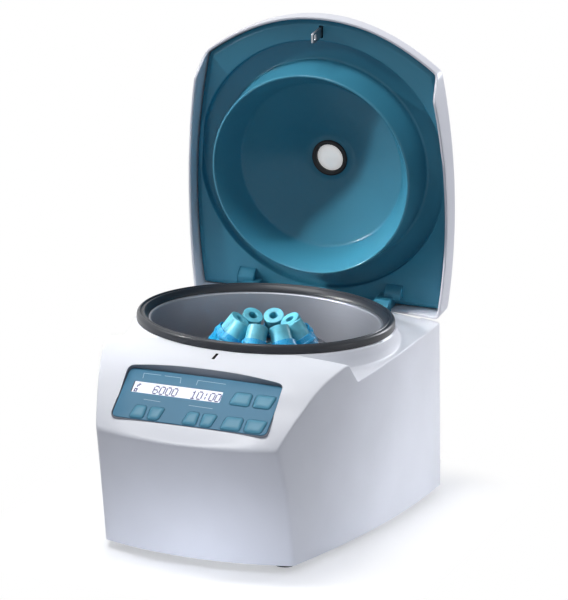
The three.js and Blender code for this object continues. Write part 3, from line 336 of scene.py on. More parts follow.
# Deep-drawn stainless steel: a grey bowl with blurred upright reflections
chamber_steel = brushed("deep_drawn_stainless_steel", "a0a3ab", 0.5, (0.04, 0.04, 0.7))
# Rolled sheet with a zinc coat: cool grey with faint rolling lines
sheet_steel = brushed("zinc_plated_sheet_steel", "a5a9af", 0.36, (0.06, 0.06, 0.5))
# Ground stainless steel of the shaft and nut: bright, with lines round the axis
shaft_steel = brushed("ground_stainless_steel", "c9ccd0", 0.18, (0.03, 0.03, 0.9))
# Turned aluminium with a dark anodised coat: deep grey that the sleeves stand out from
dark_aluminium = brushed("dark_anodised_aluminium", "5a5a62", 0.42, (0.05, 0.05, 0.6))
# Film over a backlight: an even pale blue glow
display_light = moulded("backlit_display_film", "a3aabb", 0.3, grain_mm=1.4, strength=0.04, drift=0.012,
                        **{"Emission Color": linear("eef2ff"), "Emission Strength": 0.55})
# Liquid crystal dots: dark violet blue against the glow
dot_ink = moulded("liquid_crystal_dots", "24216e", 0.35, grain_mm=0.8, strength=0.05, drift=0.05)
# Acrylic, frosted on its inner face, with a painted glow: its emission stands in for the light that comes
# through it from behind the lid
port_glass = moulded("frosted_acrylic_pane_painted_glow", "f0f0ec", 0.12, grain_mm=3.0, strength=0.03, drift=0.015,
                     **{"Emission Color": linear("ffffff"), "Emission Strength": 0.4})

CAD_FINISH = {
    "housing_plastic": housing_abs, "lid_plastic": lid_abs, "liner_plastic": liner_abs,
    "gasket_rubber": gasket_rubber, "steel_sheet": sheet_steel, "chamber_steel": chamber_steel,
    "shaft_steel": shaft_steel, "rotor_aluminium": dark_aluminium, "sleeve_plastic": blue_polypropylene,
    "insert_plastic": turquoise_polypropylene, "panel_foil": foil, "key_foil": key_foil,
    "display_glass": display_light, "port_glass": port_glass, "board_laminate": laminate,
    "black_plastic": black_plastic, "black_rubber": black_rubber,
}
SLOT_OF_NODE = {s["node"]: s["material_slot"] for s in frame["record"]["subparts"]}
for node_name, node_object in frame["nodes"].items():
    node_object.data.materials.clear()
    node_object.data.materials.append(CAD_FINISH[SLOT_OF_NODE[node_name]])


# Meshes and pieces
def mesh_of(name, points, faces):
    """A mesh from points in metres."""
    mesh = bpy.data.meshes.new(name)
    mesh.from_pydata(np.asarray(points, float).tolist(), [], [list(map(int, face)) for face in faces])
    return mesh


def object_of(name, mesh):
    made = bpy.data.objects.new(name, mesh)
    bpy.context.scene.collection.objects.link(made)
    return made


def mend(mesh, reach=MERGE_REACH, flat_angle=None):
    """Merges doubled points, joins flat faces if an angle is given, and turns the faces outwards."""
    work = bmesh.new()
    work.from_mesh(mesh)
    bmesh.ops.remove_doubles(work, verts=work.verts, dist=reach)
    if flat_angle is not None:
        bmesh.ops.dissolve_limit(work, angle_limit=flat_angle, verts=work.verts, edges=work.edges)
    bmesh.ops.recalc_face_normals(work, faces=work.faces)
    work.to_mesh(mesh)
    work.free()


def finished(name, mesh, finish, body, replaces=(), sharp=35):
    """A finished piece from a mesh in metres. Edges sharper than the angle stay sharp."""
    made = object_of(name, mesh)
    mend(mesh)
    mesh.polygons.foreach_set("use_smooth", [True] * len(mesh.polygons))
    mesh.set_sharp_from_angle(angle=math.radians(sharp))
    mesh.materials.clear()
    mesh.materials.append(finish)
    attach(made, body)
    if replaces:
        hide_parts(*replaces)
    return made


def piece(name, vertices, faces, finish, body, replaces=(), slot=None, sharp=35, lid=False):
    """A finished piece from millimetre points. A piece of the lid is given shut and turned open here."""
    points = opened(vertices) if lid else vertices
    return finished(name, mesh_of(name, metres(points), faces), finish, body, replaces, sharp)


def plain_body(name, vertices, faces, lid=False):
    """An object from millimetre points, for cutting or being cut."""
    mesh = mesh_of(name, metres(opened(vertices) if lid else vertices), faces)
    mend(mesh)
    return object_of(name, mesh)


def opened(points):
    """Turns millimetre points of the shut lid to its open place."""
    p = np.array(points, float)
    a = -LID_OPENING
    y = p[:, 1] - HINGE_Y
    z = p[:, 2] - HINGE_Z
    p[:, 1] = HINGE_Y + y * math.cos(a) - z * math.sin(a)
    p[:, 2] = HINGE_Z + y * math.sin(a) + z * math.cos(a)
    return p


def placed(vertices, index):
    """Moves points that stand on a place's own axis to that place of the rotor."""
    turn = Matrix.Rotation(FIRST_PLACE + index * 2 * math.pi / PLACES, 4, "Z")
    move = Matrix.Translation((MOUTH_RING, 0, MOUTH_RING_Z)) @ Matrix.Rotation(-PLACE_TILT, 4, "Y")
    m = np.array(turn @ move)
    return vertices @ m[:3, :3].T + m[:3, 3]


def on_panel(points):
    """Points given along the panel, up the panel and off its face."""
    p = np.asarray(points, float).reshape(-1, 3)
    c, s = math.cos(PANEL_TILT), math.sin(PANEL_TILT)
    along, up, off = p.T
    return np.stack([along, PANEL_Y + up * c - off * s, PANEL_Z + up * s + off * c], -1)


def evaluated(made):
    """The object's mesh with its modifiers applied, with the object removed."""
    deps = bpy.context.evaluated_depsgraph_get()
    mesh = bpy.data.meshes.new_from_object(made.evaluated_get(deps))
    bpy.data.objects.remove(made)
    return mesh


def cut_away(made, cutters):
    """Subtracts closed bodies from an object and returns the resulting mesh.

    A cutter called quick_... goes through the fast solver, where the exact one fails on a flush face."""
    for cutter in cutters:
        modifier = made.modifiers.new("cut", "BOOLEAN")
        modifier.operation = "DIFFERENCE"
        modifier.solver = "FAST" if cutter.name.startswith("quick_") else "EXACT"
        modifier.object = cutter
    mesh = evaluated(made)
    for cutter in cutters:
        bpy.data.objects.remove(cutter)
    return mesh


def bevelled(mesh, width, segments=2, angle=28):
    """The mesh with its sharp edges rounded over a width in millimetres."""
    made = object_of("bevelled", mesh)
    modifier = made.modifiers.new("edges", "BEVEL")
    modifier.width = width / 1000
    modifier.segments = segments
    modifier.limit_method = "ANGLE"
    modifier.angle_limit = math.radians(angle)
    modifier.use_clamp_overlap = True
    return evaluated(made)


# Profiles, outlines and the bodies made from them
def rounded_profile(points, steps=4):
    """A closed or open profile whose [r, z, round] corners are replaced by small curves."""
    out = []
    for i, corner in enumerate(points):
        size = corner[2] if len(corner) > 2 else 0
        if size <= 0:
            out.append(tuple(corner[:2]))
            continue
        p = np.array(corner[:2], float)
        before = np.array(points[i - 1][:2], float) - p
        after = np.array(points[(i + 1) % len(points)][:2], float) - p
        start = p + before / np.linalg.norm(before) * min(size, 0.49 * np.linalg.norm(before))
        end = p + after / np.linalg.norm(after) * min(size, 0.49 * np.linalg.norm(after))
        out += [tuple(bezier(start, p, end, k / steps)) for k in range(steps + 1)]
    return out


def corner_arc(cx, cz, radius, start, end, steps):
    """Points of an arc of a profile, from one angle in degrees to another."""
    return [(cx + radius * math.cos(a), cz + radius * math.sin(a))
            for a in np.linspace(math.radians(start), math.radians(end), steps + 1)]


def turned(points, steps=128, closed=True):
    """Points and faces of a body turned about Z from [r, z] points; points with r = 0 become poles."""
    vertices = []
    rings = []
    for r, z in points:
        if abs(r) < 1e-9:
            rings.append([len(vertices)])
            vertices.append((0, 0, z))
        else:
            rings.append(list(range(len(vertices), len(vertices) + steps)))
            for k in range(steps):
                a = 2 * math.pi * k / steps
                vertices.append((r * math.cos(a), r * math.sin(a), z))
    faces = []
    pairs = list(zip(rings, rings[1:]))
    if closed and len(rings[0]) > 1:
        pairs.append((rings[-1], rings[0]))
    for low, high in pairs:
        for k in range(steps):
            m = (k + 1) % steps
            quad = [low[k % len(low)], low[m % len(low)], high[m % len(high)], high[k % len(high)]]
            unique = list(dict.fromkeys(quad))
            if len(unique) > 2:
                faces.append(unique)
    return np.array(vertices, float), faces


def grid(rows, caps=False):
    """Faces between closed rows of points that all have the same count, and on both ends if asked."""
    count = len(rows[0])
    vertices = np.concatenate([np.asarray(row, float) for row in rows])
    faces = []
    for j in range(len(rows) - 1):
        for k in range(count):
            m = (k + 1) % count
            faces.append([j * count + k, j * count + m, (j + 1) * count + m, (j + 1) * count + k])
    if caps:
        faces.append(list(range(count)))
        faces.append(list(range((len(rows) - 1) * count, len(rows) * count)))
    return vertices, faces


def ring(rows):
    """Faces between closed rows of points, from the last row back to the first."""
    return grid([*rows, rows[0]])


def at_height(outline, height):
    """An outline's points with a height, or with a height each."""
    return np.column_stack([outline, np.broadcast_to(height, len(outline))])


def prism(outline, z0, z1):
    """A closed body on an outline, between two heights."""
    return grid([at_height(outline, z0), at_height(outline, z1)], caps=True)


def upright_prism(outline, x0, x1):
    """A closed body on an outline in Y and Z, between two places along X."""
    points, faces = prism(outline, x0, x1)
    return points[:, [2, 0, 1]], faces


def panel_prism(outline, low, high):
    """A closed body on an outline on the panel, between two heights over its face."""
    points, faces = prism(outline, low, high)
    return on_panel(points), faces


def block(x0, x1, y0, y1, z0, z1):
    """A box between two places along each axis."""
    v = [(x, y, z) for z in (z0, z1) for x, y in ((x0, y0), (x1, y0), (x1, y1), (x0, y1))]
    walls = [[0, 1, 5, 4], [1, 2, 6, 5], [2, 3, 7, 6], [3, 0, 4, 7]]
    return np.array(v, float), [[3, 2, 1, 0], [4, 5, 6, 7], *walls]


def joined(*parts):
    """One set of points and faces from several."""
    vertices = []
    faces = []
    total = 0
    for v, f in parts:
        vertices.append(np.asarray(v, float))
        faces += [[i + total for i in face] for face in f]
        total += len(v)
    return np.concatenate(vertices), faces


def rounded_outline(width, height, radius, steps=8, narrow_top=0.0, side=1):
    """A rectangle with round corners, whose left side leans in at the top, or is turned round for side -1."""
    w, h = width / 2, height / 2
    corners = [np.array(c) for c in ((-w, -h), (w, -h), (w, h), (-w + narrow_top, h))]
    out = []
    for i, corner in enumerate(corners):
        a = corners[i - 1] - corner
        b = corners[(i + 1) % 4] - corner
        start = corner + a / math.hypot(*a) * radius
        end = corner + b / math.hypot(*b) * radius
        out += [bezier(start, corner, end, k / steps) for k in range(steps + 1)]
    return np.array(out) * side


def lengths(curve):
    """How far along a curve each of its points lies."""
    return np.concatenate([[0], np.cumsum(np.hypot(*np.diff(curve[:, :2], axis=0).T))])


def resampled(curve, at):
    """The points of a curve at the given lengths along it."""
    return np.stack([np.interp(at, lengths(curve), column) for column in curve.T], -1)


def spread_evenly(loop, count):
    """A closed outline with evenly spaced points."""
    whole = np.vstack([loop, loop[:1]])
    return resampled(whole, np.linspace(0, lengths(whole)[-1], count + 1)[:-1])


# Housing
def side_half(y, z):
    """Half the housing's width at a place along Y and a height."""
    deck = DECK_HALF_W - (y - DECK_WIDEST_Y) ** 2 / DECK_SIDE_BOW
    bottom = BOTTOM_HALF_W - (y - BOTTOM_WIDEST_Y) ** 2 / BOTTOM_SIDE_BOW
    return mix(bottom, deck, (z - FOOT_HEIGHT) / (CREST_Z - FOOT_HEIGHT))


def smooth_through(points, per_span=14):
    """A curve through rows of numbers, with tangents from the neighbours on both sides."""
    p = np.asarray(points, float)
    padded = np.vstack([2 * p[0] - p[1], p, 2 * p[-1] - p[-2]])
    out = []
    for i in range(1, len(padded) - 2):
        a, b, c, d = padded[i - 1:i + 3]
        for k in range(per_span):
            t = k / per_span
            out.append(0.5 * (2 * b + (c - a) * t + (2 * a - 5 * b + 4 * c - d) * t ** 2
                              + (3 * b - 3 * c + d - a) * t ** 3))
    out.append(p[-1])
    return np.array(out)


def soften(curve, reach, step=0.5):
    """Rounds the corners of a curve over a reach in millimetres, and keeps its ends."""
    whole = lengths(curve)[-1]
    even = np.arange(0, whole, step)
    dense = resampled(curve, even)
    out = dense.copy()
    for i in range(len(dense)):
        s = min(reach, even[i], whole - even[i])
        w = np.exp(-0.5 * ((even - even[i]) / max(s / 2, 1e-3)) ** 2)
        out[i] = (dense * w[:, None]).sum(0) / w.sum()
    return out


def top_profile():
    """Rows of y, z, bow, crown and power from the crease to the rear edge."""
    apron = [(CREASE_Y, CREASE_Z, FRONT_BOW, 0, DECK_POWER)]
    apron += [(mix(CREASE_Y, CREST_Y, back), mix(CREASE_Z, CREST_Z, rise), FRONT_BOW * bow,
               APRON_CROWN * crown, APRON_POWER) for back, rise, bow, crown in APRON_SHARES]
    deck = [
        (TROUGH_Y, TROUGH_Z), ((TROUGH_Y + DECK_MID_Y) / 2, (TROUGH_Z + DECK_MID_Z * 2) / 3),
        (DECK_MID_Y, DECK_MID_Z), ((DECK_MID_Y + REAR_Y) / 2, (DECK_MID_Z * 2 + DECK_REAR_Z) / 3),
        (REAR_Y, DECK_REAR_Z),
    ]
    deck = [(y, z, 0, DECK_CROWN, DECK_POWER) for y, z in deck]
    return soften(np.vstack([smooth_through(apron), smooth_through(deck)]), PROFILE_SOFTENING)


PROFILE = top_profile()


def top_height(x, y):
    """Height of the apron and deck at points in plan."""
    x = np.atleast_1d(np.asarray(x, float))
    y = np.atleast_1d(np.asarray(y, float))
    py, pz, bow, crown, power = PROFILE.T
    half = side_half(py, pz)
    out = np.empty(len(x))
    for i in range(len(x)):
        share = 1 - np.minimum(1.2, np.abs(x[i]) / half) ** power
        out[i] = np.interp(y[i], py - bow * share, pz + crown * share)
    return out


def housing_height(x, y):
    """Height of the housing's top with the collar blended in."""
    deck = top_height(x, y)
    r = np.hypot(x, y)
    beside = np.clip((np.abs(x) - TIGHT_X) / TIGHT_REACH, 0, 1)
    collar = np.interp(r + TIGHT_PULL * beside, *zip(*FLARE))
    k = FLARE_BLEND - TIGHT_BLEND_CUT * beside
    blend = np.log(np.exp(deck / k) + np.exp(collar / k)) * k
    away = np.clip((r - COLLAR_TOP_R) / FLARE_START, 0, 1)
    top = np.minimum(mix(np.maximum(deck, collar), blend, away), np.maximum(deck, COLLAR_TOP_Z))
    return np.minimum(top, mix(COLLAR_TOP_Z, CEILING_Z, np.clip((r - COLLAR_TOP_R) / CEILING_REACH, 0, 1)))


def front_edge_y(z):
    """Corner line of the front below the crease: how far forward it stands at a height."""
    rises = [mix(FOOT_HEIGHT, CREASE_Z, rise) for _, rise in LOWER_SHARES]
    outs = [mix(BOTTOM_FRONT_Y, CREASE_Y, out) for out, _ in LOWER_SHARES]
    return np.interp(z, rises, outs)


def edge_point(y):
    """Point on the housing's upper side edge at a place along Y."""
    z = np.interp(y, PROFILE[:, 0], PROFILE[:, 1])
    return np.array((side_half(y, z), y, z))


def front_point(x_share, down):
    """Point of the front at shares of the half width and of the way down from the crease."""
    z = mix(CREASE_Z, FOOT_HEIGHT, down)
    y = front_edge_y(z)
    return np.array((side_half(y, z) * x_share, y - FRONT_BOW * (1 - x_share ** 2), z))


def side_point(y_share, down):
    """Point of the side at shares of the way back and of the way down."""
    top = edge_point(mix(CREASE_Y, REAR_Y, y_share))
    z = mix(top[2], FOOT_HEIGHT, down)
    y = mix(top[1], mix(BOTTOM_FRONT_Y, REAR_Y, y_share), down)
    straight = mix(CREASE_Y, BOTTOM_FRONT_Y, down)
    curve = front_edge_y(mix(CREASE_Z, FOOT_HEIGHT, down)) - straight
    y += curve * max(0.0, 1 - y_share / FRONT_FADE_SHARE)
    return np.array((side_half(y, z), y, z))


def rear_point(x_share, down):
    """Point of the rear at shares of the half width and of the way down."""
    top_z = top_height(side_half(REAR_Y, DECK_REAR_Z) * x_share, REAR_Y)[0]
    z = mix(top_z, FOOT_HEIGHT, down)
    return np.array((side_half(REAR_Y, z) * x_share, REAR_Y, z))


def housing_columns():
    """Half of the housing's columns, from the middle of the front to the middle of the rear.

    Each is the round size at its top and the line down it, a function from a share to a point."""
    def line(point, place):
        return lambda down: point(place, down)

    def corner(before, middle, after, t):
        return lambda down: bezier(before(down), middle(down), after(down), t)

    front_share = 1 - CORNER_SIZE / side_half(CREASE_Y, CREASE_Z)
    side_share = CORNER_SIZE / (REAR_Y - CREASE_Y)
    rear_share = 1 - CORNER_SIZE / REAR_HALF_W
    front_corner = line(front_point, front_share), line(front_point, 1), line(side_point, side_share)
    rear_corner = line(side_point, 1 - side_share), line(rear_point, 1), line(rear_point, rear_share)
    columns = []
    for i in range(FRONT_COLUMNS + 1):
        columns.append((CREASE_ROUND, line(front_point, front_share * i / FRONT_COLUMNS)))
    for i in range(1, CORNER_COLUMNS):
        t = i / CORNER_COLUMNS
        columns.append((mix(CREASE_ROUND, FRONT_CORNER_ROUND, t), corner(*front_corner, t)))
    for i in range(SIDE_COLUMNS + 1):
        place = mix(side_share, 1 - side_share, i / SIDE_COLUMNS)
        on_apron = mix(CREASE_Y, REAR_Y, place) < CREST_Y
        columns.append((APRON_SIDE_ROUND if on_apron else DECK_SIDE_ROUND, line(side_point, place)))
    for i in range(1, CORNER_COLUMNS):
        columns.append((REAR_CORNER_ROUND, corner(*rear_corner, i / CORNER_COLUMNS)))
    for i in range(REAR_COLUMNS + 1):
        columns.append((REAR_ROUND, line(rear_point, rear_share * (1 - i / REAR_COLUMNS))))
    return columns


def housing_skin():
    """The outer skin, from the wall of the chamber's mouth over the collar and deck to the foot."""
    inner = [(MOUTH_R, MOUTH_WALL_Z), (MOUTH_R, COLLAR_TOP_Z - MOUTH_CHAMFER_H),
             (MOUTH_R + MOUTH_CHAMFER_W, COLLAR_TOP_Z), (COLLAR_TOP_R - COLLAR_LAND, COLLAR_TOP_Z)]
    share = np.linspace(0, 1, TOP_ROWS + 1)
    spread = mix(share ** COLLAR_CLOSENESS, share, EVEN_SHARE)
    lines = []
    for size, down in housing_columns():
        top = down(0)
        angle = math.atan2(top[1], top[0])
        direction = np.array((math.cos(angle), math.sin(angle)))
        reach = math.hypot(top[0], top[1]) - COLLAR_TOP_R
        r = COLLAR_TOP_R + spread * (reach - min(size, LARGEST_ROUND_SHARE * reach))
        x, y = direction[0] * r, direction[1] * r
        deck = np.stack([x, y, housing_height(x, y)], -1)
        begin = size / (top[2] - FOOT_HEIGHT)
        rounding = [bezier(deck[-1], top, down(begin), k / ROUND_ROWS) for k in range(1, ROUND_ROWS)]
        side = [down(mix(begin, 1, k / SIDE_ROWS)) for k in range(SIDE_ROWS + 1)]
        mouth = [(direction[0] * q, direction[1] * q, h) for q, h in inner]
        lines.append([*mouth, *deck, *rounding, *side])
    rows = [list(row) for row in zip(*lines)]
    return grid([row + [(-p[0], p[1], p[2]) for p in row[-2:0:-1]] for row in rows])


def leaned(outline, height):
    """The recess's outline at a height over the panel: its upper wall leans back, most in the middle."""
    out = np.array(outline, float)
    arc = np.clip(1 - (out[:, 0] / RECESS_ARC_HALF) ** 2, 0, 1)
    upper = np.clip((out[:, 1] - (PANEL_H / 2 - PANEL_R)) / PANEL_R, 0, 1)
    out[:, 1] += RECESS_ARC * arc * upper * np.clip(height / RECESS_RISE, 0, 2)
    return out


def recess_loop(extra):
    """Closely and evenly spaced outline of the panel, grown by a length all round."""
    corner = rounded_outline(PANEL_W + 2 * extra, PANEL_H + 2 * extra, PANEL_R + extra, 14)
    return spread_evenly(corner, RECESS_STEPS)


def housing_cutters():
    """Bodies that open the panel's recess, the lock's slot, the arms' openings, the ledge and the rear."""
    loop = recess_loop(RECESS_EDGE)
    rows = [on_panel(at_height(leaned(loop, height), height)) for height in RECESS_HEIGHTS]
    cutters = [plain_body("recess_cutter", *grid(rows, caps=True))]
    boxes = [("slot_cutter", -SLOT_HALF_X, SLOT_HALF_X, HOOK_Y - SLOT_HALF_Y, HOOK_Y + SLOT_HALF_Y,
              SLOT_LOW_Z, PAST_TOP_Z)]
    boxes += [("arm_cutter", x - ARM_OPENING_HALF_X, x + ARM_OPENING_HALF_X, ARM_OPENING_FRONT_Y,
               ARM_OPENING_REAR_Y, ARM_OPENING_LOW_Z, PAST_TOP_Z) for x in (-ARM_X, ARM_X)]
    boxes.append(("quick_ledge_cutter", -LEDGE_HALF_X, LEDGE_HALF_X, LEDGE_Y, PAST_REAR_Y,
                  LEDGE_Z, PAST_TOP_Z))
    boxes.append(("rear_cutter", -REAR_OPENING_HALF_X, REAR_OPENING_HALF_X, REAR_OPENING_Y, PAST_REAR_Y,
                  REAR_OPENING_LOW_Z, REAR_OPENING_HIGH_Z))
    return cutters + [plain_body(name, *block(*box)) for name, *box in boxes]


def housing_shell():
    """The skin with its wall inwards, opened where other pieces come through."""
    skin = plain_body("housing_skin", *housing_skin())
    solidify = skin.modifiers.new("wall", "SOLIDIFY")
    solidify.thickness = WALL / 1000
    solidify.offset = -1
    solidify.use_even_offset = False
    return cut_away(skin, housing_cutters())


finished("housing_shell", housing_shell(), housing_abs, "base", ["housing"], sharp=32)

# Pocket: its foot, floor and corner over the panel's face, and how its wall rounds off into the surface
POCKET_CLEARANCE = 0.15
POCKET_LIP = 0.7
POCKET_FLOOR_INSET = 6.0
POCKET_FOOT_H = -4.4
POCKET_FLOOR_H = -1.5
POCKET_CORNER_H = -1.2
POCKET_LEAST_RISE = 0.25
POCKET_CORNER_SHARE = 0.999
POCKET_LOW_WALL_SHARE = 0.3
POCKET_EDGE_DROP = 0.7
POCKET_NEAR_SHARE = 0.12
POCKET_NEAR_DROP = 0.25
POCKET_FAR_SHARE = 0.4
POCKET_FAR_DROP = 0.06
POCKET_BACK_DROP = 0.35
# Heights over the panel between which the housing's surface is looked for, and how many halvings find it
SEARCH_LOW_H = -4.0
SEARCH_HIGH_H = 24.0
SEARCH_HALVINGS = 30


def height_over_panel(x, up):
    """How far the housing's surface stands above the panel's plane at a place beside the panel."""
    low, high = SEARCH_LOW_H, SEARCH_HIGH_H
    for _ in range(SEARCH_HALVINGS):
        middle = (low + high) / 2
        p = on_panel([(x, up, middle)])[0]
        if p[2] < top_height(p[0], p[1])[0]:
            low = middle
        else:
            high = middle
    return low


def rises_at(loop):
    """Height of the housing's surface over the panel at each point of a loop."""
    return np.array([max(POCKET_LEAST_RISE, height_over_panel(x, up)) for x, up in loop])


def panel_pocket():
    """Wall and floor strip of the pocket that the panel lies in; the wall ends at the housing's edge."""
    wall = recess_loop(RECESS_EDGE - POCKET_CLEARANCE)
    outer = recess_loop(RECESS_EDGE + POCKET_LIP)
    floor_edge = recess_loop(-POCKET_FLOOR_INSET)
    rise = rises_at(wall)
    for _ in range(2):
        rise = rises_at(leaned(wall, rise))
    back_rise = rises_at(leaned(outer, rise))
    top = leaned(wall, rise)
    back = leaned(outer, back_rise)
    low_rise = POCKET_LOW_WALL_SHARE * rise
    edge_rise = rise - POCKET_EDGE_DROP
    rows = [
        (floor_edge, POCKET_FOOT_H), (floor_edge, POCKET_FLOOR_H),
        (wall * POCKET_CORNER_SHARE, POCKET_FLOOR_H), (wall, POCKET_CORNER_H),
        (leaned(wall, low_rise), low_rise), (leaned(wall, edge_rise), edge_rise),
        (mix(top, back, POCKET_NEAR_SHARE), rise - POCKET_NEAR_DROP),
        (mix(top, back, POCKET_FAR_SHARE), mix(rise, back_rise, POCKET_FAR_SHARE) - POCKET_FAR_DROP),
        (back, back_rise - POCKET_BACK_DROP), (outer, POCKET_FOOT_H),
    ]
    return ring([on_panel(at_height(loop, heights)) for loop, heights in rows])


# The pocket's grey finish is painted shade on its walls
piece("panel_pocket", *panel_pocket(), pocket_painted_shade, "base", slot="housing_plastic", sharp=50)

# Lining of the slot, from under the deck's surface down
LINING_GAP = 0.05
LINING_WALL = 0.3
LINING_LENGTH = 12.0
LINING_DEPTH = 6
LINING_SUNK = 0.3
LINING_R = 0.5


def slot_lining():
    """Black sleeve of the lock in the housing's slot."""
    half = SLOT_HALF_X - LINING_GAP - LINING_WALL
    outline = rounded_outline(2 * (half + LINING_WALL), LINING_LENGTH, LINING_R, 3) + (0, HOOK_Y)
    hole = rounded_outline(2 * half, LINING_LENGTH - 0.7, LINING_R - 0.1, 3) + (0, HOOK_Y)
    high = top_height(np.zeros(len(outline)), outline[:, 1])
    return ring([at_height(outline, high - LINING_DEPTH), at_height(outline, high - LINING_SUNK),
                 at_height(hole, high - LINING_SUNK), at_height(hole, high - LINING_DEPTH)])


piece("slot_lining", *slot_lining(), black_plastic, "base", slot="black_plastic")

ledge_floor = block(-LEDGE_HALF_X, LEDGE_HALF_X, LEDGE_Y, LEDGE_Y + LEDGE_DEPTH,
                    LEDGE_Z - LEDGE_DROP - LEDGE_WALL, LEDGE_Z - LEDGE_DROP)
piece("rear_ledge_floor", *ledge_floor, housing_abs, "base", slot="housing_plastic")

# Control panel: places along and up it are from its middle
CUT_DEPTH = 5
WINDOW_X = -21.75
WINDOW_UP = 7.5
WINDOW_W = 84.1
WINDOW_H = 12.6
WINDOW_R = 1.2
KEY_H = 14.8
KEY_R = 3.4
KEY_LEAN = 3.0
KEY_W = 13.8
WIDE_KEY_W = 19.2
KEY_GAP = 0.35
LOW_KEYS_UP = -19.4
HIGH_KEYS_UP = 8.0
KEY_COLUMN_SHARES = (-0.687, -0.451, -0.003, 0.232, 0.528, 0.837)
WIDE_FROM = 4
# The pillow of a key: how far its outline grows, and its height over the panel
KEY_PILLOW = [(0, -0.4), (0, 0.05), (-0.12, 0.3), (-0.4, 0.58), (-0.85, 0.86), (-1.5, 1.12), (-2.3, 1.32),
              (-3.3, 1.46), (-4.5, 1.55), (-5.8, 1.58)]
KEY_LEAN_FADE = 9


def key_row(up, first):
    """Keys of a row: place along, place up, width, and 1 or -1 for the side that leans."""
    return [(share * PANEL_W / 2, up, WIDE_KEY_W if i >= WIDE_FROM else KEY_W, -1 if i % 2 else 1)
            for i, share in enumerate(KEY_COLUMN_SHARES) if i >= first]


KEYS = key_row(LOW_KEYS_UP, 0) + key_row(HIGH_KEYS_UP, WIDE_FROM)


def key_opening(width, side):
    return rounded_outline(width + 2 * KEY_GAP, KEY_H + 2 * KEY_GAP, KEY_R + KEY_GAP, 8, KEY_LEAN, side)


def control_panel():
    """Foil-covered plate with a softened edge, and openings for the keys and the display."""
    outline = rounded_outline(PANEL_W, PANEL_H, PANEL_R, 12)
    inner = rounded_outline(PANEL_W - 2 * PANEL_EDGE_ROUND, PANEL_H - 2 * PANEL_EDGE_ROUND,
                            PANEL_R - PANEL_EDGE_ROUND, 12)
    levels = [(outline, -PANEL_THICKNESS), (outline, -PANEL_EDGE_ROUND),
              (mix(outline, inner, 0.3), -0.3 * PANEL_EDGE_ROUND), (inner, 0)]
    plate = plain_body("foil_body", *grid([on_panel(at_height(*row)) for row in levels], caps=True))
    openings = [("key_cut", key_opening(width, side) + (x, up)) for x, up, width, side in KEYS]
    openings.append(("window_cut", rounded_outline(WINDOW_W, WINDOW_H, WINDOW_R, 6) + (WINDOW_X, WINDOW_UP)))
    return cut_away(plate, [plain_body(name, *panel_prism(opening, -CUT_DEPTH, CUT_DEPTH))
                            for name, opening in openings])


def key_cap(x, up, width, side):
    """A key pressed up in the foil: a soft rim that rises to a pillowed middle."""
    rows = []
    for grow, height in KEY_PILLOW:
        outline = rounded_outline(width + 2 * grow, KEY_H + 2 * grow, max(0.5, KEY_R + grow * 0.5), 8,
                                  KEY_LEAN * (1 + grow / KEY_LEAN_FADE), side)
        rows.append(on_panel(at_height(outline + (x, up), height)))
    return grid(rows, caps=True)


finished("panel_foil_sheet", control_panel(), foil, "base", ["control_panel"], sharp=30)
for number, key in enumerate(KEYS, 1):
    piece(f"key_cap_{number}", *key_cap(*key), key_foil, f"body_key_{number}", [f"key_{number}"], sharp=60)

PRINT_LOW = 0.012
PRINT_HIGH = 0.05
PRINT_W = 0.5
PRINTED_LINES = [
    [(-57.3, 17.5), (-58.0, 22.9), (-42, 23.1)], [(-38, 22.9), (-22.8, 22.9), (-21.8, 17.2)],
    [(-6.6, 17.5), (-6.6, 22.6), (19.5, 22.3)], [(-48.8, -5.4), (-33.2, -5.9)],
    [(-6, -5.6), (16, -6.0)],
]
PANE_GAP = 0.25
PANE_R = 1.0
PANE_LOW = -3.6
PANE_HIGH = -0.35
# What lies on the pane starts this far off its face
HAIR = 0.01
# Painted shadow along the pane's left end: its width, how far in from the end, and its height
EDGE_SHADOW_W = 0.9
EDGE_SHADOW_INSET_X = 0.35
EDGE_SHADOW_HIGH = -0.15


def stroke(points, width, low, high):
    """A printed line along points on the panel, as a thin flat body."""
    p = np.asarray(points, float)
    parts = []
    for a, b in zip(p, p[1:]):
        d = (b - a) / np.linalg.norm(b - a)
        n = np.array((-d[1], d[0])) * width / 2
        e = d * width / 2
        parts.append(panel_prism(np.array([a - n - e, b - n + e, b + n + e, a + n - e]), low, high))
    return joined(*parts)


def display_pane():
    """Film of the display in the panel's window."""
    outline = rounded_outline(WINDOW_W - 2 * PANE_GAP, WINDOW_H - 2 * PANE_GAP, PANE_R, 6)
    return panel_prism(outline + (WINDOW_X, WINDOW_UP), PANE_LOW, PANE_HIGH)


def display_border():
    """Painted shadow: a dark stroke along the pane's left end, where the window's edge shades it."""
    x = WINDOW_X - WINDOW_W / 2 + EDGE_SHADOW_INSET_X
    reach = WINDOW_H / 2 - EDGE_SHADOW_W
    return stroke([(x, WINDOW_UP - reach), (x, WINDOW_UP + reach)], EDGE_SHADOW_W, PANE_HIGH + HAIR, EDGE_SHADOW_HIGH)


panel_print = joined(*[stroke(line, PRINT_W, PRINT_LOW, PRINT_HIGH) for line in PRINTED_LINES])
piece("panel_print", *panel_print, print_white, "base", slot="panel_foil")
piece("display_pane", *display_pane(), display_light, "base", ["display_module"])
# A dark stroke painted as the shadow of the window's edge on the pane
piece("display_border", *display_border(), black_plastic, "base", slot="display_glass")

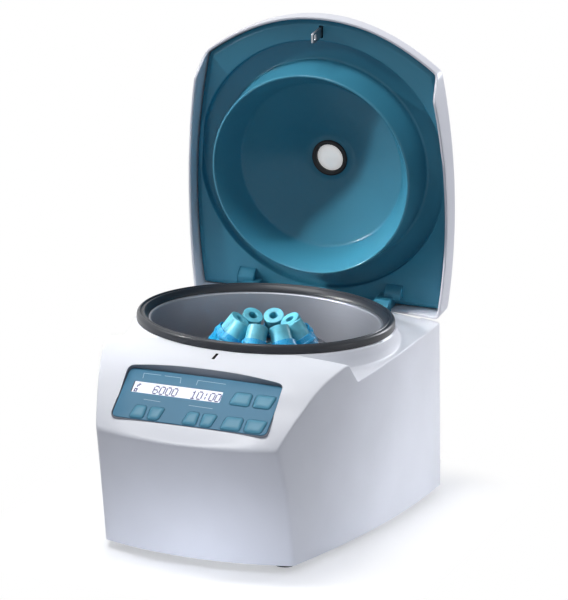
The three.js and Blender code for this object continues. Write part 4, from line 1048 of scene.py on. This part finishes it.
# Dots of the display's characters, row by row from the top
GLYPHS = {
    "6": ("01110", "10001", "10000", "11110", "10001", "10001", "01110"),
    "0": ("01110", "10001", "10001", "10001", "10001", "10001", "01110"),
    "1": ("00100", "01100", "00100", "00100", "00100", "00100", "01110"),
    ":": ("00000", "00100", "00100", "00000", "00100", "00100", "00000"),
    "/": ("00011", "00110", "00100", "00000", "01110", "01010", "01110"),
}
DOT_PITCH = 1.36
DOT_STEP = 1.02
DOT_HALF_W = 0.54
DOT_HALF_H = 0.68
DOT_THICKNESS = 0.06
DOT_SLANT = 0.12
MIDDLE_ROW = 3
CHARACTERS_UP = WINDOW_UP - 0.9
# Each word, the place of its first column and the pitch of its characters
WORDS = [("/", -61.6, 5.9), ("6000", -43.4, 5.95), ("10:00", -7.6, 5.7)]


def display_dots():
    """Places on the panel of the dots that are on."""
    points = []
    for word, start, pitch in WORDS:
        for i, letter in enumerate(word):
            for row, bits in enumerate(GLYPHS[letter]):
                above = MIDDLE_ROW - row
                points += [(start + i * pitch + (column + DOT_SLANT * above) * DOT_STEP,
                            CHARACTERS_UP + above * DOT_PITCH, PANE_HIGH + HAIR)
                           for column, bit in enumerate(bits) if bit == "1"]
    return points


def repeated(name, points, directions, item, finish, body):
    """Sets a small item on every point with Geometry Nodes and returns the one baked piece.

    The item's own Z turns to each point's direction."""
    mesh = mesh_of(name, metres(points), [])
    attribute = mesh.attributes.new("direction", "FLOAT_VECTOR", "POINT")
    attribute.data.foreach_set("vector", np.asarray(directions, float).ravel())
    made = object_of(name, mesh)
    tree = bpy.data.node_groups.new(name + "_nodes", "GeometryNodeTree")
    tree.interface.new_socket("Geometry", in_out="INPUT", socket_type="NodeSocketGeometry")
    size = tree.interface.new_socket("Size", in_out="INPUT", socket_type="NodeSocketFloat")
    tree.interface.new_socket("Geometry", in_out="OUTPUT", socket_type="NodeSocketGeometry")
    source = add(tree, "NodeGroupInput")
    shape = add(tree, "GeometryNodeObjectInfo", {"Object": item})
    named = add(tree, "GeometryNodeInputNamedAttribute", {"data_type": "FLOAT_VECTOR", "Name": "direction"})
    align = add(tree, "FunctionNodeAlignEulerToVector", {"axis": "Z"}, Vector=named.outputs["Attribute"])
    items = add(tree, "GeometryNodeInstanceOnPoints", {}, Points=source.outputs["Geometry"],
                Instance=shape.outputs["Geometry"], Rotation=align.outputs[0], Scale=source.outputs["Size"])
    real = add(tree, "GeometryNodeRealizeInstances", {}, _0=items.outputs[0])
    paint = add(tree, "GeometryNodeSetMaterial", {"Material": finish}, Geometry=real.outputs[0])
    add(tree, "NodeGroupOutput", {}, _0=paint.outputs[0])
    modifier = made.modifiers.new("repeat", "NODES")
    modifier.node_group = tree
    modifier[size.identifier] = 1.0
    mesh = evaluated(made)
    bpy.data.objects.remove(item)
    return finished(name, mesh, finish, body, sharp=40)


panel_normal = (0, -math.sin(PANEL_TILT), math.cos(PANEL_TILT))
dots = display_dots()
# The item stands about its own origin, so it isn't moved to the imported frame
dot_points, dot_faces = block(-DOT_HALF_W, DOT_HALF_W, -DOT_HALF_H, DOT_HALF_H, 0, DOT_THICKNESS)
dot_item = object_of("dot", mesh_of("dot", dot_points / 1000, dot_faces))
repeated("display_characters", on_panel(dots), [panel_normal] * len(dots), dot_item, dot_ink, "base")

# Chamber bowl: a drawn wall with a curved foot, a rolled rim and a raised ring in its floor
CHAMBER_R = 105.03
BOWL_WALL = 1.2
BOWL_FOOT_R = 18.0
BOWL_BOTTOM_Z = 82.0
BOWL_HOLE_R = 17.0
BOWL_FLOOR_Z = BOWL_BOTTOM_Z + BOWL_WALL
BOWL_BEND = (CHAMBER_R - BOWL_FOOT_R, BOWL_FLOOR_Z + BOWL_FOOT_R)
BOWL_RIM_Z = 184.7
BOWL_RIM_IN_R = 106.6
BOWL_RIM_OUT_R = 115.2
BOWL_RIM_ROUND = 1.6
BOWL_FLOOR_RING = [(62, 0), (60.5, 0.6), (58.5, 1.0), (40, 1.0), (38.5, 0.6), (37, 0), (20, 0)]

bowl_profile = [
    (BOWL_HOLE_R, BOWL_BOTTOM_Z), *corner_arc(*BOWL_BEND, BOWL_FOOT_R + BOWL_WALL, -90, 0, 14),
    (CHAMBER_R + BOWL_WALL, BOWL_RIM_Z),
    *corner_arc(BOWL_RIM_OUT_R, BOWL_RIM_Z + BOWL_WALL / 2, BOWL_WALL / 2, -90, 90, 4),
    (BOWL_RIM_IN_R, BOWL_RIM_Z + BOWL_WALL),
    *corner_arc(BOWL_RIM_IN_R, BOWL_RIM_Z + BOWL_WALL - BOWL_RIM_ROUND, BOWL_RIM_ROUND, 90, 180, 4)[1:],
    *corner_arc(*BOWL_BEND, BOWL_FOOT_R, 0, -90, 14),
    *[(r, BOWL_FLOOR_Z + rise) for r, rise in BOWL_FLOOR_RING], (BOWL_HOLE_R, BOWL_FLOOR_Z + 0.4),
]
piece("bowl", *turned(bowl_profile, 192), chamber_steel, "base", ["chamber_bowl"], sharp=40)

# Gasket: radius, height and round of each corner, from its inner edge along the underside and over its lips
gasket_profile = rounded_profile([
    (107.53, 186.2, 0.4), (116.13, 186.2), (116.13, 184.72), (118.63, 184.72, 0.3), (118.63, 190.4, 1.6),
    (117.2, 192.2, 1.0), (115.9, 192.7, 0.9), (114.7, 191.1, 0.7), (113.4, 190.9, 0.7), (112.6, 192.3, 0.8),
    (111.2, 191.4, 1.4), (108.7, 188.6, 0.8),
], 5)
JOINT_AT = math.radians(-158)
JOINT_HALF_W = 0.5
JOINT_GROWTH = (1.0005, 1, 1.0004)


def gasket_joint():
    """Joint of the gasket's two ends, a little proud of its lips."""
    rows = [np.array([(r, y, z) for r, z in gasket_profile]) * JOINT_GROWTH
            for y in (-JOINT_HALF_W, JOINT_HALF_W)]
    points, faces = grid(rows, caps=True)
    return points @ np.array(Matrix.Rotation(JOINT_AT, 3, "Z")).T, faces


piece("gasket", *turned(gasket_profile, 240), gasket_rubber, "base", ["rim_gasket"], sharp=50)
piece("gasket_joint", *gasket_joint(), gasket_rubber, "base", slot="gasket_rubber")

# Sleeves and inserts: radius, height and round of each corner, on a place's own axis from the rotor's face
SLEEVE_PROFILE = rounded_profile([
    (0, -82), (7.3, -82, 1.0), (12.2, -74.7, 3.0), (12.2, -3.3, 0.3), (13.2, -3.0, 0.4), (13.2, -0.9, 0.6),
    (12.3, -0.5, 0.3), (12.2, 4.6, 0.5), (10.9, 4.6, 0.4), (11.0, -74.2, 2.0), (6.6, -80.8, 1.0), (0, -80.8),
], 4)
INSERT_PROFILE = rounded_profile([
    (0, -80.5), (5.8, -80.5, 0.8), (10.3, -74.7, 2.0), (10.3, -1.0, 3.0), (9.85, 6.0, 5.0), (9.5, 14.0, 4.0),
    (9.5, 20.0, 0.9), (4.3, 20.0, 0.5), (3.7, 19.3, 0.4), (3.7, -50, 1.0), (0, -50),
], 5)
LINED_PLACE = [("tube_sleeve", "sleeve", SLEEVE_PROFILE, blue_polypropylene),
               ("tube_insert", "insert", INSERT_PROFILE, turquoise_polypropylene)]
for index in range(PLACES):
    for name, node, profile, finish in LINED_PLACE:
        points, faces = turned(profile, 64, closed=False)
        piece(f"{name}_{index + 1}", placed(points, index), faces, finish, "rotor", [f"{node}_{index + 1}"],
              sharp=45)

# Rotor: radius, height and round of each corner, and a stepped bore on each place's axis
ROTOR_PROFILE = rounded_profile([
    (5.3, 104, 0.5), (22, 104, 1.0), (22, 120), (83.1, 120, 1.0), (88.1, 125, 1.0), (63, 158, 1.5),
    (58, 163, 1.5), (15, 163, 0.8), (11.25, 158, 0.8), (5.3, 158, 0.4),
], 4)
BORE_PROFILE = [(0, -110), (12.5, -110), (12.5, -3.3), (13.5, -3.3), (13.9, 20), (0, 20)]


def rotor_head():
    bores = []
    for index in range(PLACES):
        points, faces = turned(BORE_PROFILE, 48, closed=False)
        bores.append(plain_body("bore", placed(points, index), faces))
    return cut_away(plain_body("rotor_block", *turned(ROTOR_PROFILE, 160)), bores)


finished("rotor_head", rotor_head(), dark_aluminium, "rotor", ["rotor_body"], sharp=30)

# Nut: radius over corners and height of each level, from the seat over the chamfers into the blind hole
NUT_LEVELS = [(5.3, 158.3), (7.1, 158.3), (7.5, 158.7), (7.5, 164.6), (6.9, 165.3), (2.6, 165.3),
              (2.2, 164.6), (2.2, 162.5)]


def clamping_nut():
    sixths = np.arange(6) * math.pi / 3
    return grid([[(r * math.cos(a), r * math.sin(a), z) for a in sixths] for r, z in NUT_LEVELS], caps=True)


piece("clamping_nut", *clamping_nut(), shaft_steel, "rotor", ["rotor_nut"], sharp=25)

# Lid: how far its outline's corners are smoothed, at the front and at the rear
FRONT_SMOOTHING = 2.4
REAR_SMOOTHING = 3.2
SMOOTHING_STEP = 0.5
SMOOTHING_SPAN = 24


def lid_loop():
    """The lid's outline with rounded corners, evenly spread and anticlockwise, and its outward normals."""
    arc_half = side_half(CREST_Y, CREST_Z)
    xs = np.linspace(-arc_half, arc_half, 200)
    front = np.column_stack([xs, mix(LID_ARC_Y, CREST_Y, (xs / arc_half) ** 2)])
    ys = np.linspace(CREST_Y, LID_REAR_Y, 240)[1:]
    side = np.column_stack([side_half(ys, CREST_Z), ys])
    rear_x = np.linspace(side[-1, 0], -side[-1, 0], 200)[1:]
    rear = at_height(rear_x, LID_REAR_Y)
    other = (side * (-1, 1))[::-1][1:]
    loop = np.vstack([front, side, rear, other])
    loop = resampled(loop, np.arange(0, lengths(loop)[-1], SMOOTHING_STEP))
    out = loop.copy()
    for i in range(len(loop)):
        sigma = FRONT_SMOOTHING if loop[i, 1] < 0 else REAR_SMOOTHING
        offsets = np.arange(-SMOOTHING_SPAN, SMOOTHING_SPAN + 1)
        weight = np.exp(-0.5 * (offsets * SMOOTHING_STEP / sigma) ** 2)
        out[i] = (loop[(i + offsets) % len(loop)] * weight[:, None]).sum(0) / weight.sum()
    out = spread_evenly(out, LID_STEPS)
    tangent = np.roll(out, -1, 0) - np.roll(out, 1, 0)
    tangent /= np.hypot(*tangent.T)[:, None]
    return out, np.column_stack([tangent[:, 1], -tangent[:, 0]])


LOOP, NORMAL = lid_loop()
RIM_INSIDE = LOOP - NORMAL * (LID_WALL + RIM_BEHIND)
# The rim follows the apron and deck with an even gap, and keeps off the collar's flare inside it
RIM_Z = np.maximum(top_height(*(LOOP * RIM_SAMPLE_SHARE).T) + LID_GAP,
                   housing_height(*RIM_INSIDE.T) + FLARE_GAP)


def unfolded(loop):
    """Straightens the stretches that run backwards where an inset is larger than a corner's radius."""
    out = np.array(loop, float)
    tangent = np.column_stack([-NORMAL[:, 1], NORMAL[:, 0]])
    bad = ((np.roll(out, -1, 0) - out) * tangent).sum(1) < 0.15
    bad |= np.roll(bad, 1)
    if not bad.any():
        return out
    good = np.flatnonzero(~bad)
    for i in range(2):
        out[:, i] = np.interp(np.arange(len(out)), good, out[good, i], period=len(out))
    return out


def level(inset, z):
    """A row of the lid at a distance in from its outline."""
    return at_height(unfolded(LOOP - NORMAL * inset), z)


def dome_row(share, inset):
    """A row of the dome at a share of the way from the port's ring to the outline."""
    edge = LOOP - NORMAL * inset
    inner = (PORT_R + inset * PORT_TAPER) / np.hypot(*edge.T)
    q = mix(inner, 1, share)
    fall = np.clip((1 - q ** DOME_POWER) / (1 - inner ** DOME_POWER), 0, 1) ** DOME_FULLNESS
    return at_height(edge * q[:, None], mix(SHOULDER_Z, LID_TOP_Z, fall) - inset)


def lid_skin():
    """White shell: the dome, the outer wall, the rim's round edge, and the same way back inside."""
    shares = 1 - (1 - np.linspace(0, 1, DOME_ROWS)) ** DOME_EDGE_POWER
    outer = [dome_row(share, 0) for share in shares]
    wall = [level(0, mix(SHOULDER_Z, RIM_Z + 1.0, k / 5)) for k in range(1, 6)]
    rim = [level(inset, RIM_Z + rise) for inset, rise in
           ((0.08, 0.5), (0.35, 0.15), (0.8, 0), (1.9, 0), (2.3, 0.2), (LID_WALL, 0.7))]
    inner_wall = [level(LID_WALL, mix(RIM_Z + 0.7, SHOULDER_Z - LID_WALL, k / 4)) for k in range(1, 5)]
    inner = [dome_row(share, LID_WALL) for share in shares[::-2]]
    return ring(outer + wall + rim + inner_wall + inner)


piece("lid_skin", *lid_skin(), lid_abs, "lid", ["lid_shell"], sharp=35, lid=True)

# Liner: radius, height and round of each corner, from the port's hole down the dish to its edge, into the
# gasket's groove and out to the plate
LINER_PROFILE = rounded_profile([
    (15.8, 209.5), (24.0, 209.5, 3.0), (80.5, 185.0, 2.2), (94.9, 153.9, 1.0), (95.7, 152.6, 0.6),
    (96.9, 152.6, 0.6), (97.83, 153.8, 0.8), (101.33, 193.6, 3.0), (122.03, 193.6, 2.4),
    (122.03, PLATE_Z, 1.6), (124.6, PLATE_Z),
], 6)
LINER_BACK = [(124.25, 186.8), (124.25, 195.8), (99.1, 195.8), (96.3, 161.4), (82.7, 187.2), (25.1, 211.7),
              (15.8, 211.7)]
BORDER_INSET = 8.6
BORDER_EDGE = 4.0
BORDER_DROP = 2.4


def lid_liner():
    """Teal liner: the round dish and groove run over into a plate with the lid's outline."""
    unit = LOOP / np.hypot(*LOOP.T)[:, None]
    rows = [at_height(unit * r, z) for r, z in LINER_PROFILE[:-1]]
    start = rows[-1]
    rows += [mix(start, level(BORDER_INSET, PLATE_Z), k / 6) for k in range(1, 7)]
    rows += [level(inset, PLATE_Z + rise) for inset, rise in (
        (BORDER_INSET - 0.5, 0.12), (BORDER_INSET - 1.0, 0.45), (BORDER_EDGE, BORDER_DROP - 0.2),
        (BORDER_EDGE - 0.3, BORDER_DROP + 0.1), (BORDER_EDGE - 0.4, BORDER_DROP + 0.8))]
    rows += [at_height(unit * r, z) for r, z in LINER_BACK]
    return ring(rows)


# Hook: a plate along the lid's middle line, its window, and the hole in the liner that it comes through
HOOK_HALF_X = 1
HOOK_W = 10
HOOK_H = 26.6
HOOK_MIDDLE_Z = 173.3
HOOK_WINDOW = 5.4
HOOK_WINDOW_Z = 165.7
HOOK_HOLE_HALF_X = 2.1
HOOK_HOLE_HALF_Y = 6.1
HOOK_HOLE_HALF_Z = 6


def lid_hook():
    """Plate hook with round corners and a square window, in the lid's open place."""
    shape = rounded_outline(HOOK_W, HOOK_H, 2.0, 6) + (HOOK_Y, HOOK_MIDDLE_Z)
    window = rounded_outline(HOOK_WINDOW, HOOK_WINDOW, 0.8, 4) + (HOOK_Y, HOOK_WINDOW_Z)
    blade = plain_body("blade", *upright_prism(shape, -HOOK_HALF_X, HOOK_HALF_X), lid=True)
    cutter = plain_body("blade_window", *upright_prism(window, -3 * HOOK_HALF_X, 3 * HOOK_HALF_X), lid=True)
    return cut_away(blade, [cutter])


hook_hole = block(-HOOK_HOLE_HALF_X, HOOK_HOLE_HALF_X, HOOK_Y - HOOK_HOLE_HALF_Y, HOOK_Y + HOOK_HOLE_HALF_Y,
                  PLATE_Z - HOOK_HOLE_HALF_Z, PLATE_Z + HOOK_HOLE_HALF_Z)
liner = cut_away(plain_body("liner_body", *lid_liner(), lid=True),
                 [plain_body("hook_hole", *hook_hole, lid=True)])
finished("liner", liner, liner_abs, "lid", ["lid_liner"], sharp=38)

# Sight port: the grommet holds the two shells' edges in its groove, and the domed pane in its bore
GROMMET_PROFILE = rounded_profile([
    (13.4, 207.8, 0.5), (15.6, 206.7, 1.0), (17.3, 207.6, 0.9), (17.6, 209.2), (15.5, 209.2), (15.5, 225.2),
    (17.6, 225.5), (17.6, LID_TOP_Z, 0.6), (14.0, LID_TOP_Z, 0.6), (14.0, 212.7), (13.2, 212.2, 0.3),
], 4)
PANE_PROFILE = [(0, 208.7), (3.5, 208.85), (7.0, 209.4), (10.0, 210.35), (12.2, 211.6), (13.3, 212.6),
                (13.7, 213.1), (13.7, 215.5), (13.2, 216), (0, 216)]
piece("grommet", *turned(GROMMET_PROFILE, 96), black_rubber, "lid", ["port_grommet"], sharp=40, lid=True)
# The pane's glow is painted light, not a lamp
piece("sight_pane", *turned(PANE_PROFILE, 96, closed=False), port_glass, "lid", ["port_window"], sharp=40,
      lid=True)
finished("hook_blade", bevelled(lid_hook(), 0.3), sheet_steel, "lid", ["lid_hook"], sharp=40)


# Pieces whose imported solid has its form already, and whose edges are rounded here
def softened(node, width, body, segments=2, angle=28):
    """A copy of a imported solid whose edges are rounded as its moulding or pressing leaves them."""
    source = frame["nodes"][node]
    mesh = source.data.copy()
    mesh.transform(source.matrix_world)
    mend(mesh, reach=2 * MERGE_REACH, flat_angle=math.radians(0.5))
    if mesh.has_custom_normals:
        mesh.attributes.remove(mesh.attributes["custom_normal"])
    finish = CAD_FINISH[SLOT_OF_NODE[node]]
    return finished(node + "_form", bevelled(mesh, width, segments, angle), finish, body, [node], sharp=40)


# Lugs: caps of the liner over the lid's arms, as an outline in y and z with the lid shut
LUG_X = 74.0
LUG_HALF_W = 8.0
LUG_SIDE = [(111.0, 186.0), (111.0, 183.6), (113.6, 179.2), (117.5, 176.0), (123.5, 175.4), (123.5, 186.0)]


def hinge_lug(name, x):
    points, faces = upright_prism(np.array(LUG_SIDE), x - LUG_HALF_W, x + LUG_HALF_W)
    return bevelled(mesh_of(name, metres(opened(points)), faces), 0.8, 3)


for side in ("left", "right"):
    softened(f"hinge_arm_{side}", 0.9, "lid", segments=3)
    softened(f"hinge_bracket_{side}", 0.3, "base")
for side, x in (("left", -LUG_X), ("right", LUG_X)):
    name = f"hinge_lug_{side}"
    finished(name, hinge_lug(name, x), liner_abs, "lid", sharp=40)
softened("base_tray", 0.5, "base")
softened("rear_panel", 0.3, "base", angle=40)
softened("mains_inlet", 0.5, "base")
softened("fuse_drawer", 0.4, "body_fuse_drawer")
softened("switch_frame", 0.6, "base", segments=3)
softened("power_rocker", 0.6, "body_rocker", segments=3)
softened("lock_body", 0.5, "base")
softened("lock_latch", 0.3, "body_latch")
softened("motor_mount", 0.4, "base", angle=40)
softened("power_board", 0.3, "base", angle=40)
softened("control_board", 0.2, "base")
for corner in range(1, 5):
    softened(f"foot_{corner}", 0.8, "base", segments=3)
softened("motor", 0.8, "base", segments=3)
softened("shaft_boot", 0.4, "base")
softened("motor_shaft", 0.2, "rotor")

# Camera, solved from the photo's round chamber mouth, round liner and straight housing edges
VIEW_YAW = math.radians(19.283)
VIEW_PITCH = math.radians(13.941)
VIEW_ROLL = math.radians(2.0935)
VIEW_DISTANCE = 3609.885
VIEW_TARGET = np.array((16.8356, 0.0, 206.7339))
FOCAL_PIXELS = 3944.045
IMAGE_LONG_SIDE = 600
SENSOR_W = 36


def camera():
    back = np.array((math.sin(VIEW_YAW) * math.cos(VIEW_PITCH), -math.cos(VIEW_YAW) * math.cos(VIEW_PITCH),
                     math.sin(VIEW_PITCH)))
    right = np.array((math.cos(VIEW_YAW), math.sin(VIEW_YAW), 0.0))
    up = np.cross(right, -back)
    cam_x = right * math.cos(VIEW_ROLL) + up * math.sin(VIEW_ROLL)
    cam_y = -right * math.sin(VIEW_ROLL) + up * math.cos(VIEW_ROLL)
    place = metres([VIEW_TARGET + back * VIEW_DISTANCE])[0]
    data = bpy.data.cameras.new("camera")
    data.sensor_fit = "AUTO"
    data.sensor_width = SENSOR_W
    data.lens = FOCAL_PIXELS / IMAGE_LONG_SIDE * SENSOR_W
    data.clip_end = 50
    made = object_of("camera", data)
    made.matrix_world = Matrix([[cam_x[i], cam_y[i], back[i], place[i]] for i in range(3)] + [[0, 0, 0, 1]])
    return made


bpy.context.scene.camera = camera()

# Floor and world, in metres: the white that the camera sees stays out of the light on the object
FLOOR_HALF = 6
FLOOR_SHADOW_HALF_X = 0.115
FLOOR_SHADOW_HALF_Y = 0.165
SHADOW_REACH = 0.10
TABLE_LIFT = 0.36
WHITE = (1, 1, 1, 1)


def seen_rays(tree):
    """Share of 1 for the rays that show the background: straight to the camera, mirrored or let through."""
    rays = add(tree, "ShaderNodeLightPath")
    shown = add(tree, "ShaderNodeMath", {"operation": "MAXIMUM"}, _0=rays.outputs["Is Camera Ray"],
                _1=rays.outputs["Is Glossy Ray"])
    return add(tree, "ShaderNodeMath", {"operation": "MAXIMUM"}, _0=shown.outputs[0],
               _1=rays.outputs["Is Transmission Ray"]).outputs[0]


def white_away(tree):
    """Share that is 0 under the object and rises to 1 at the end of its soft shadow."""
    where = add(tree, "ShaderNodeTexCoord")
    apart = add(tree, "ShaderNodeSeparateXYZ", {}, Vector=where.outputs["Object"])
    squares = []
    for axis, half in (("X", FLOOR_SHADOW_HALF_X), ("Y", FLOOR_SHADOW_HALF_Y)):
        size = add(tree, "ShaderNodeMath", {"operation": "ABSOLUTE"}, _0=apart.outputs[axis])
        beyond = add(tree, "ShaderNodeMath", {"operation": "SUBTRACT", 1: half}, _0=size.outputs[0])
        outside = add(tree, "ShaderNodeMath", {"operation": "MAXIMUM", 1: 0.0}, _0=beyond.outputs[0])
        squares.append(add(tree, "ShaderNodeMath", {"operation": "POWER", 1: 2.0}, _0=outside.outputs[0]))
    total = add(tree, "ShaderNodeMath", {"operation": "ADD"}, _0=squares[0].outputs[0],
                _1=squares[1].outputs[0])
    distance = add(tree, "ShaderNodeMath", {"operation": "SQRT"}, _0=total.outputs[0])
    share = add(tree, "ShaderNodeMapRange",
                {"interpolation_type": "SMOOTHSTEP", "From Min": 0.0, "From Max": SHADOW_REACH},
                Value=distance.outputs[0])
    return share.outputs[0]


def table_paint():
    """White table: a lift near the object keeps its soft shadow, and plain white lies further off.

    To all other rays it is a grey table, so that little light is thrown up on the object."""
    made, tree, bsdf = material("white_table", **{"Base Color": linear("f2f2f3"), "Roughness": 0.6,
                                                  "Specular IOR Level": 0.2})
    lift = add(tree, "ShaderNodeEmission", {"Color": WHITE, "Strength": TABLE_LIFT})
    near = add(tree, "ShaderNodeAddShader", {}, _0=bsdf.outputs[0], _1=lift.outputs[0])
    plain = add(tree, "ShaderNodeEmission", {"Color": WHITE, "Strength": 1.0})
    faded = add(tree, "ShaderNodeMixShader", {}, _0=white_away(tree), _1=near.outputs[0], _2=plain.outputs[0])
    grey = add(tree, "ShaderNodeBsdfDiffuse", {"Color": linear("b4b4b8")})
    shown = add(tree, "ShaderNodeMixShader", {}, _0=seen_rays(tree), _1=grey.outputs[0], _2=faded.outputs[0])
    tree.links.new(shown.outputs[0], tree.nodes["Material Output"].inputs[0])
    return made


corners = [(-FLOOR_HALF, -FLOOR_HALF, 0), (FLOOR_HALF, -FLOOR_HALF, 0), (FLOOR_HALF, FLOOR_HALF, 0),
           (-FLOOR_HALF, FLOOR_HALF, 0)]
floor = object_of("floor", mesh_of("floor", corners, [(0, 1, 2, 3)]))
floor.data.materials.append(table_paint())

world = bpy.data.worlds.new("studio")
bpy.context.scene.world = world
world.use_nodes = True
tree = world.node_tree
tree.nodes.clear()
ambient = add(tree, "ShaderNodeBackground", {"Color": linear("e4e9f4"), "Strength": 0.30})
white = add(tree, "ShaderNodeBackground", {"Color": WHITE, "Strength": 1.0})
choose = add(tree, "ShaderNodeMixShader", {}, _0=seen_rays(tree), _1=ambient.outputs[0], _2=white.outputs[0])
add(tree, "ShaderNodeOutputWorld", {}, _0=choose.outputs[0])


def lamp(name, position, target, size, power, tint="ffffff", spread=180):
    """A round lamp in metres and watts that points at a target, with a beam of so many degrees."""
    data = bpy.data.lights.new(name, "AREA")
    data.shape = "DISK"
    data.size = size
    data.energy = power
    data.color = linear(tint)[:3]
    data.spread = math.radians(spread)
    made = object_of(name, data)
    made.location = position
    aim = Vector(target) - Vector(position)
    made.rotation_euler = aim.to_track_quat("-Z", "Y").to_euler()
    made.visible_camera = False


# Soft main lamps from above and behind, and narrow weak ones for the lower walls and the dish
lamp("key_light", (-0.75, -0.42, 2.1), (0, 0, 0.2), 0.5, 12.5)
lamp("overhead_light", (-0.2, -0.25, 2.2), (0, 0, 0.2), 0.5, 12)
lamp("rear_right_light", (1.1, 1.9, 0.8), (0, 0, 0.2), 0.6, 20, "f4f7ff")
lamp("low_front_light", (0.16, -1.2, 0.10), (0.0, -0.17, -0.06), 0.2, 0.14, "eef3ff", 17)
lamp("low_side_light", (1.3, 0.05, 0.12), (0.13, 0.07, 0.02), 0.2, 0.1, "f4f7ff", 22)
lamp("bowl_light", (-1.2, -0.5, 0.95), (0.09, 0.06, 0.2), 0.12, 0.32, "ffffff", 17)

bpy.context.scene.view_settings.view_transform = "Standard"
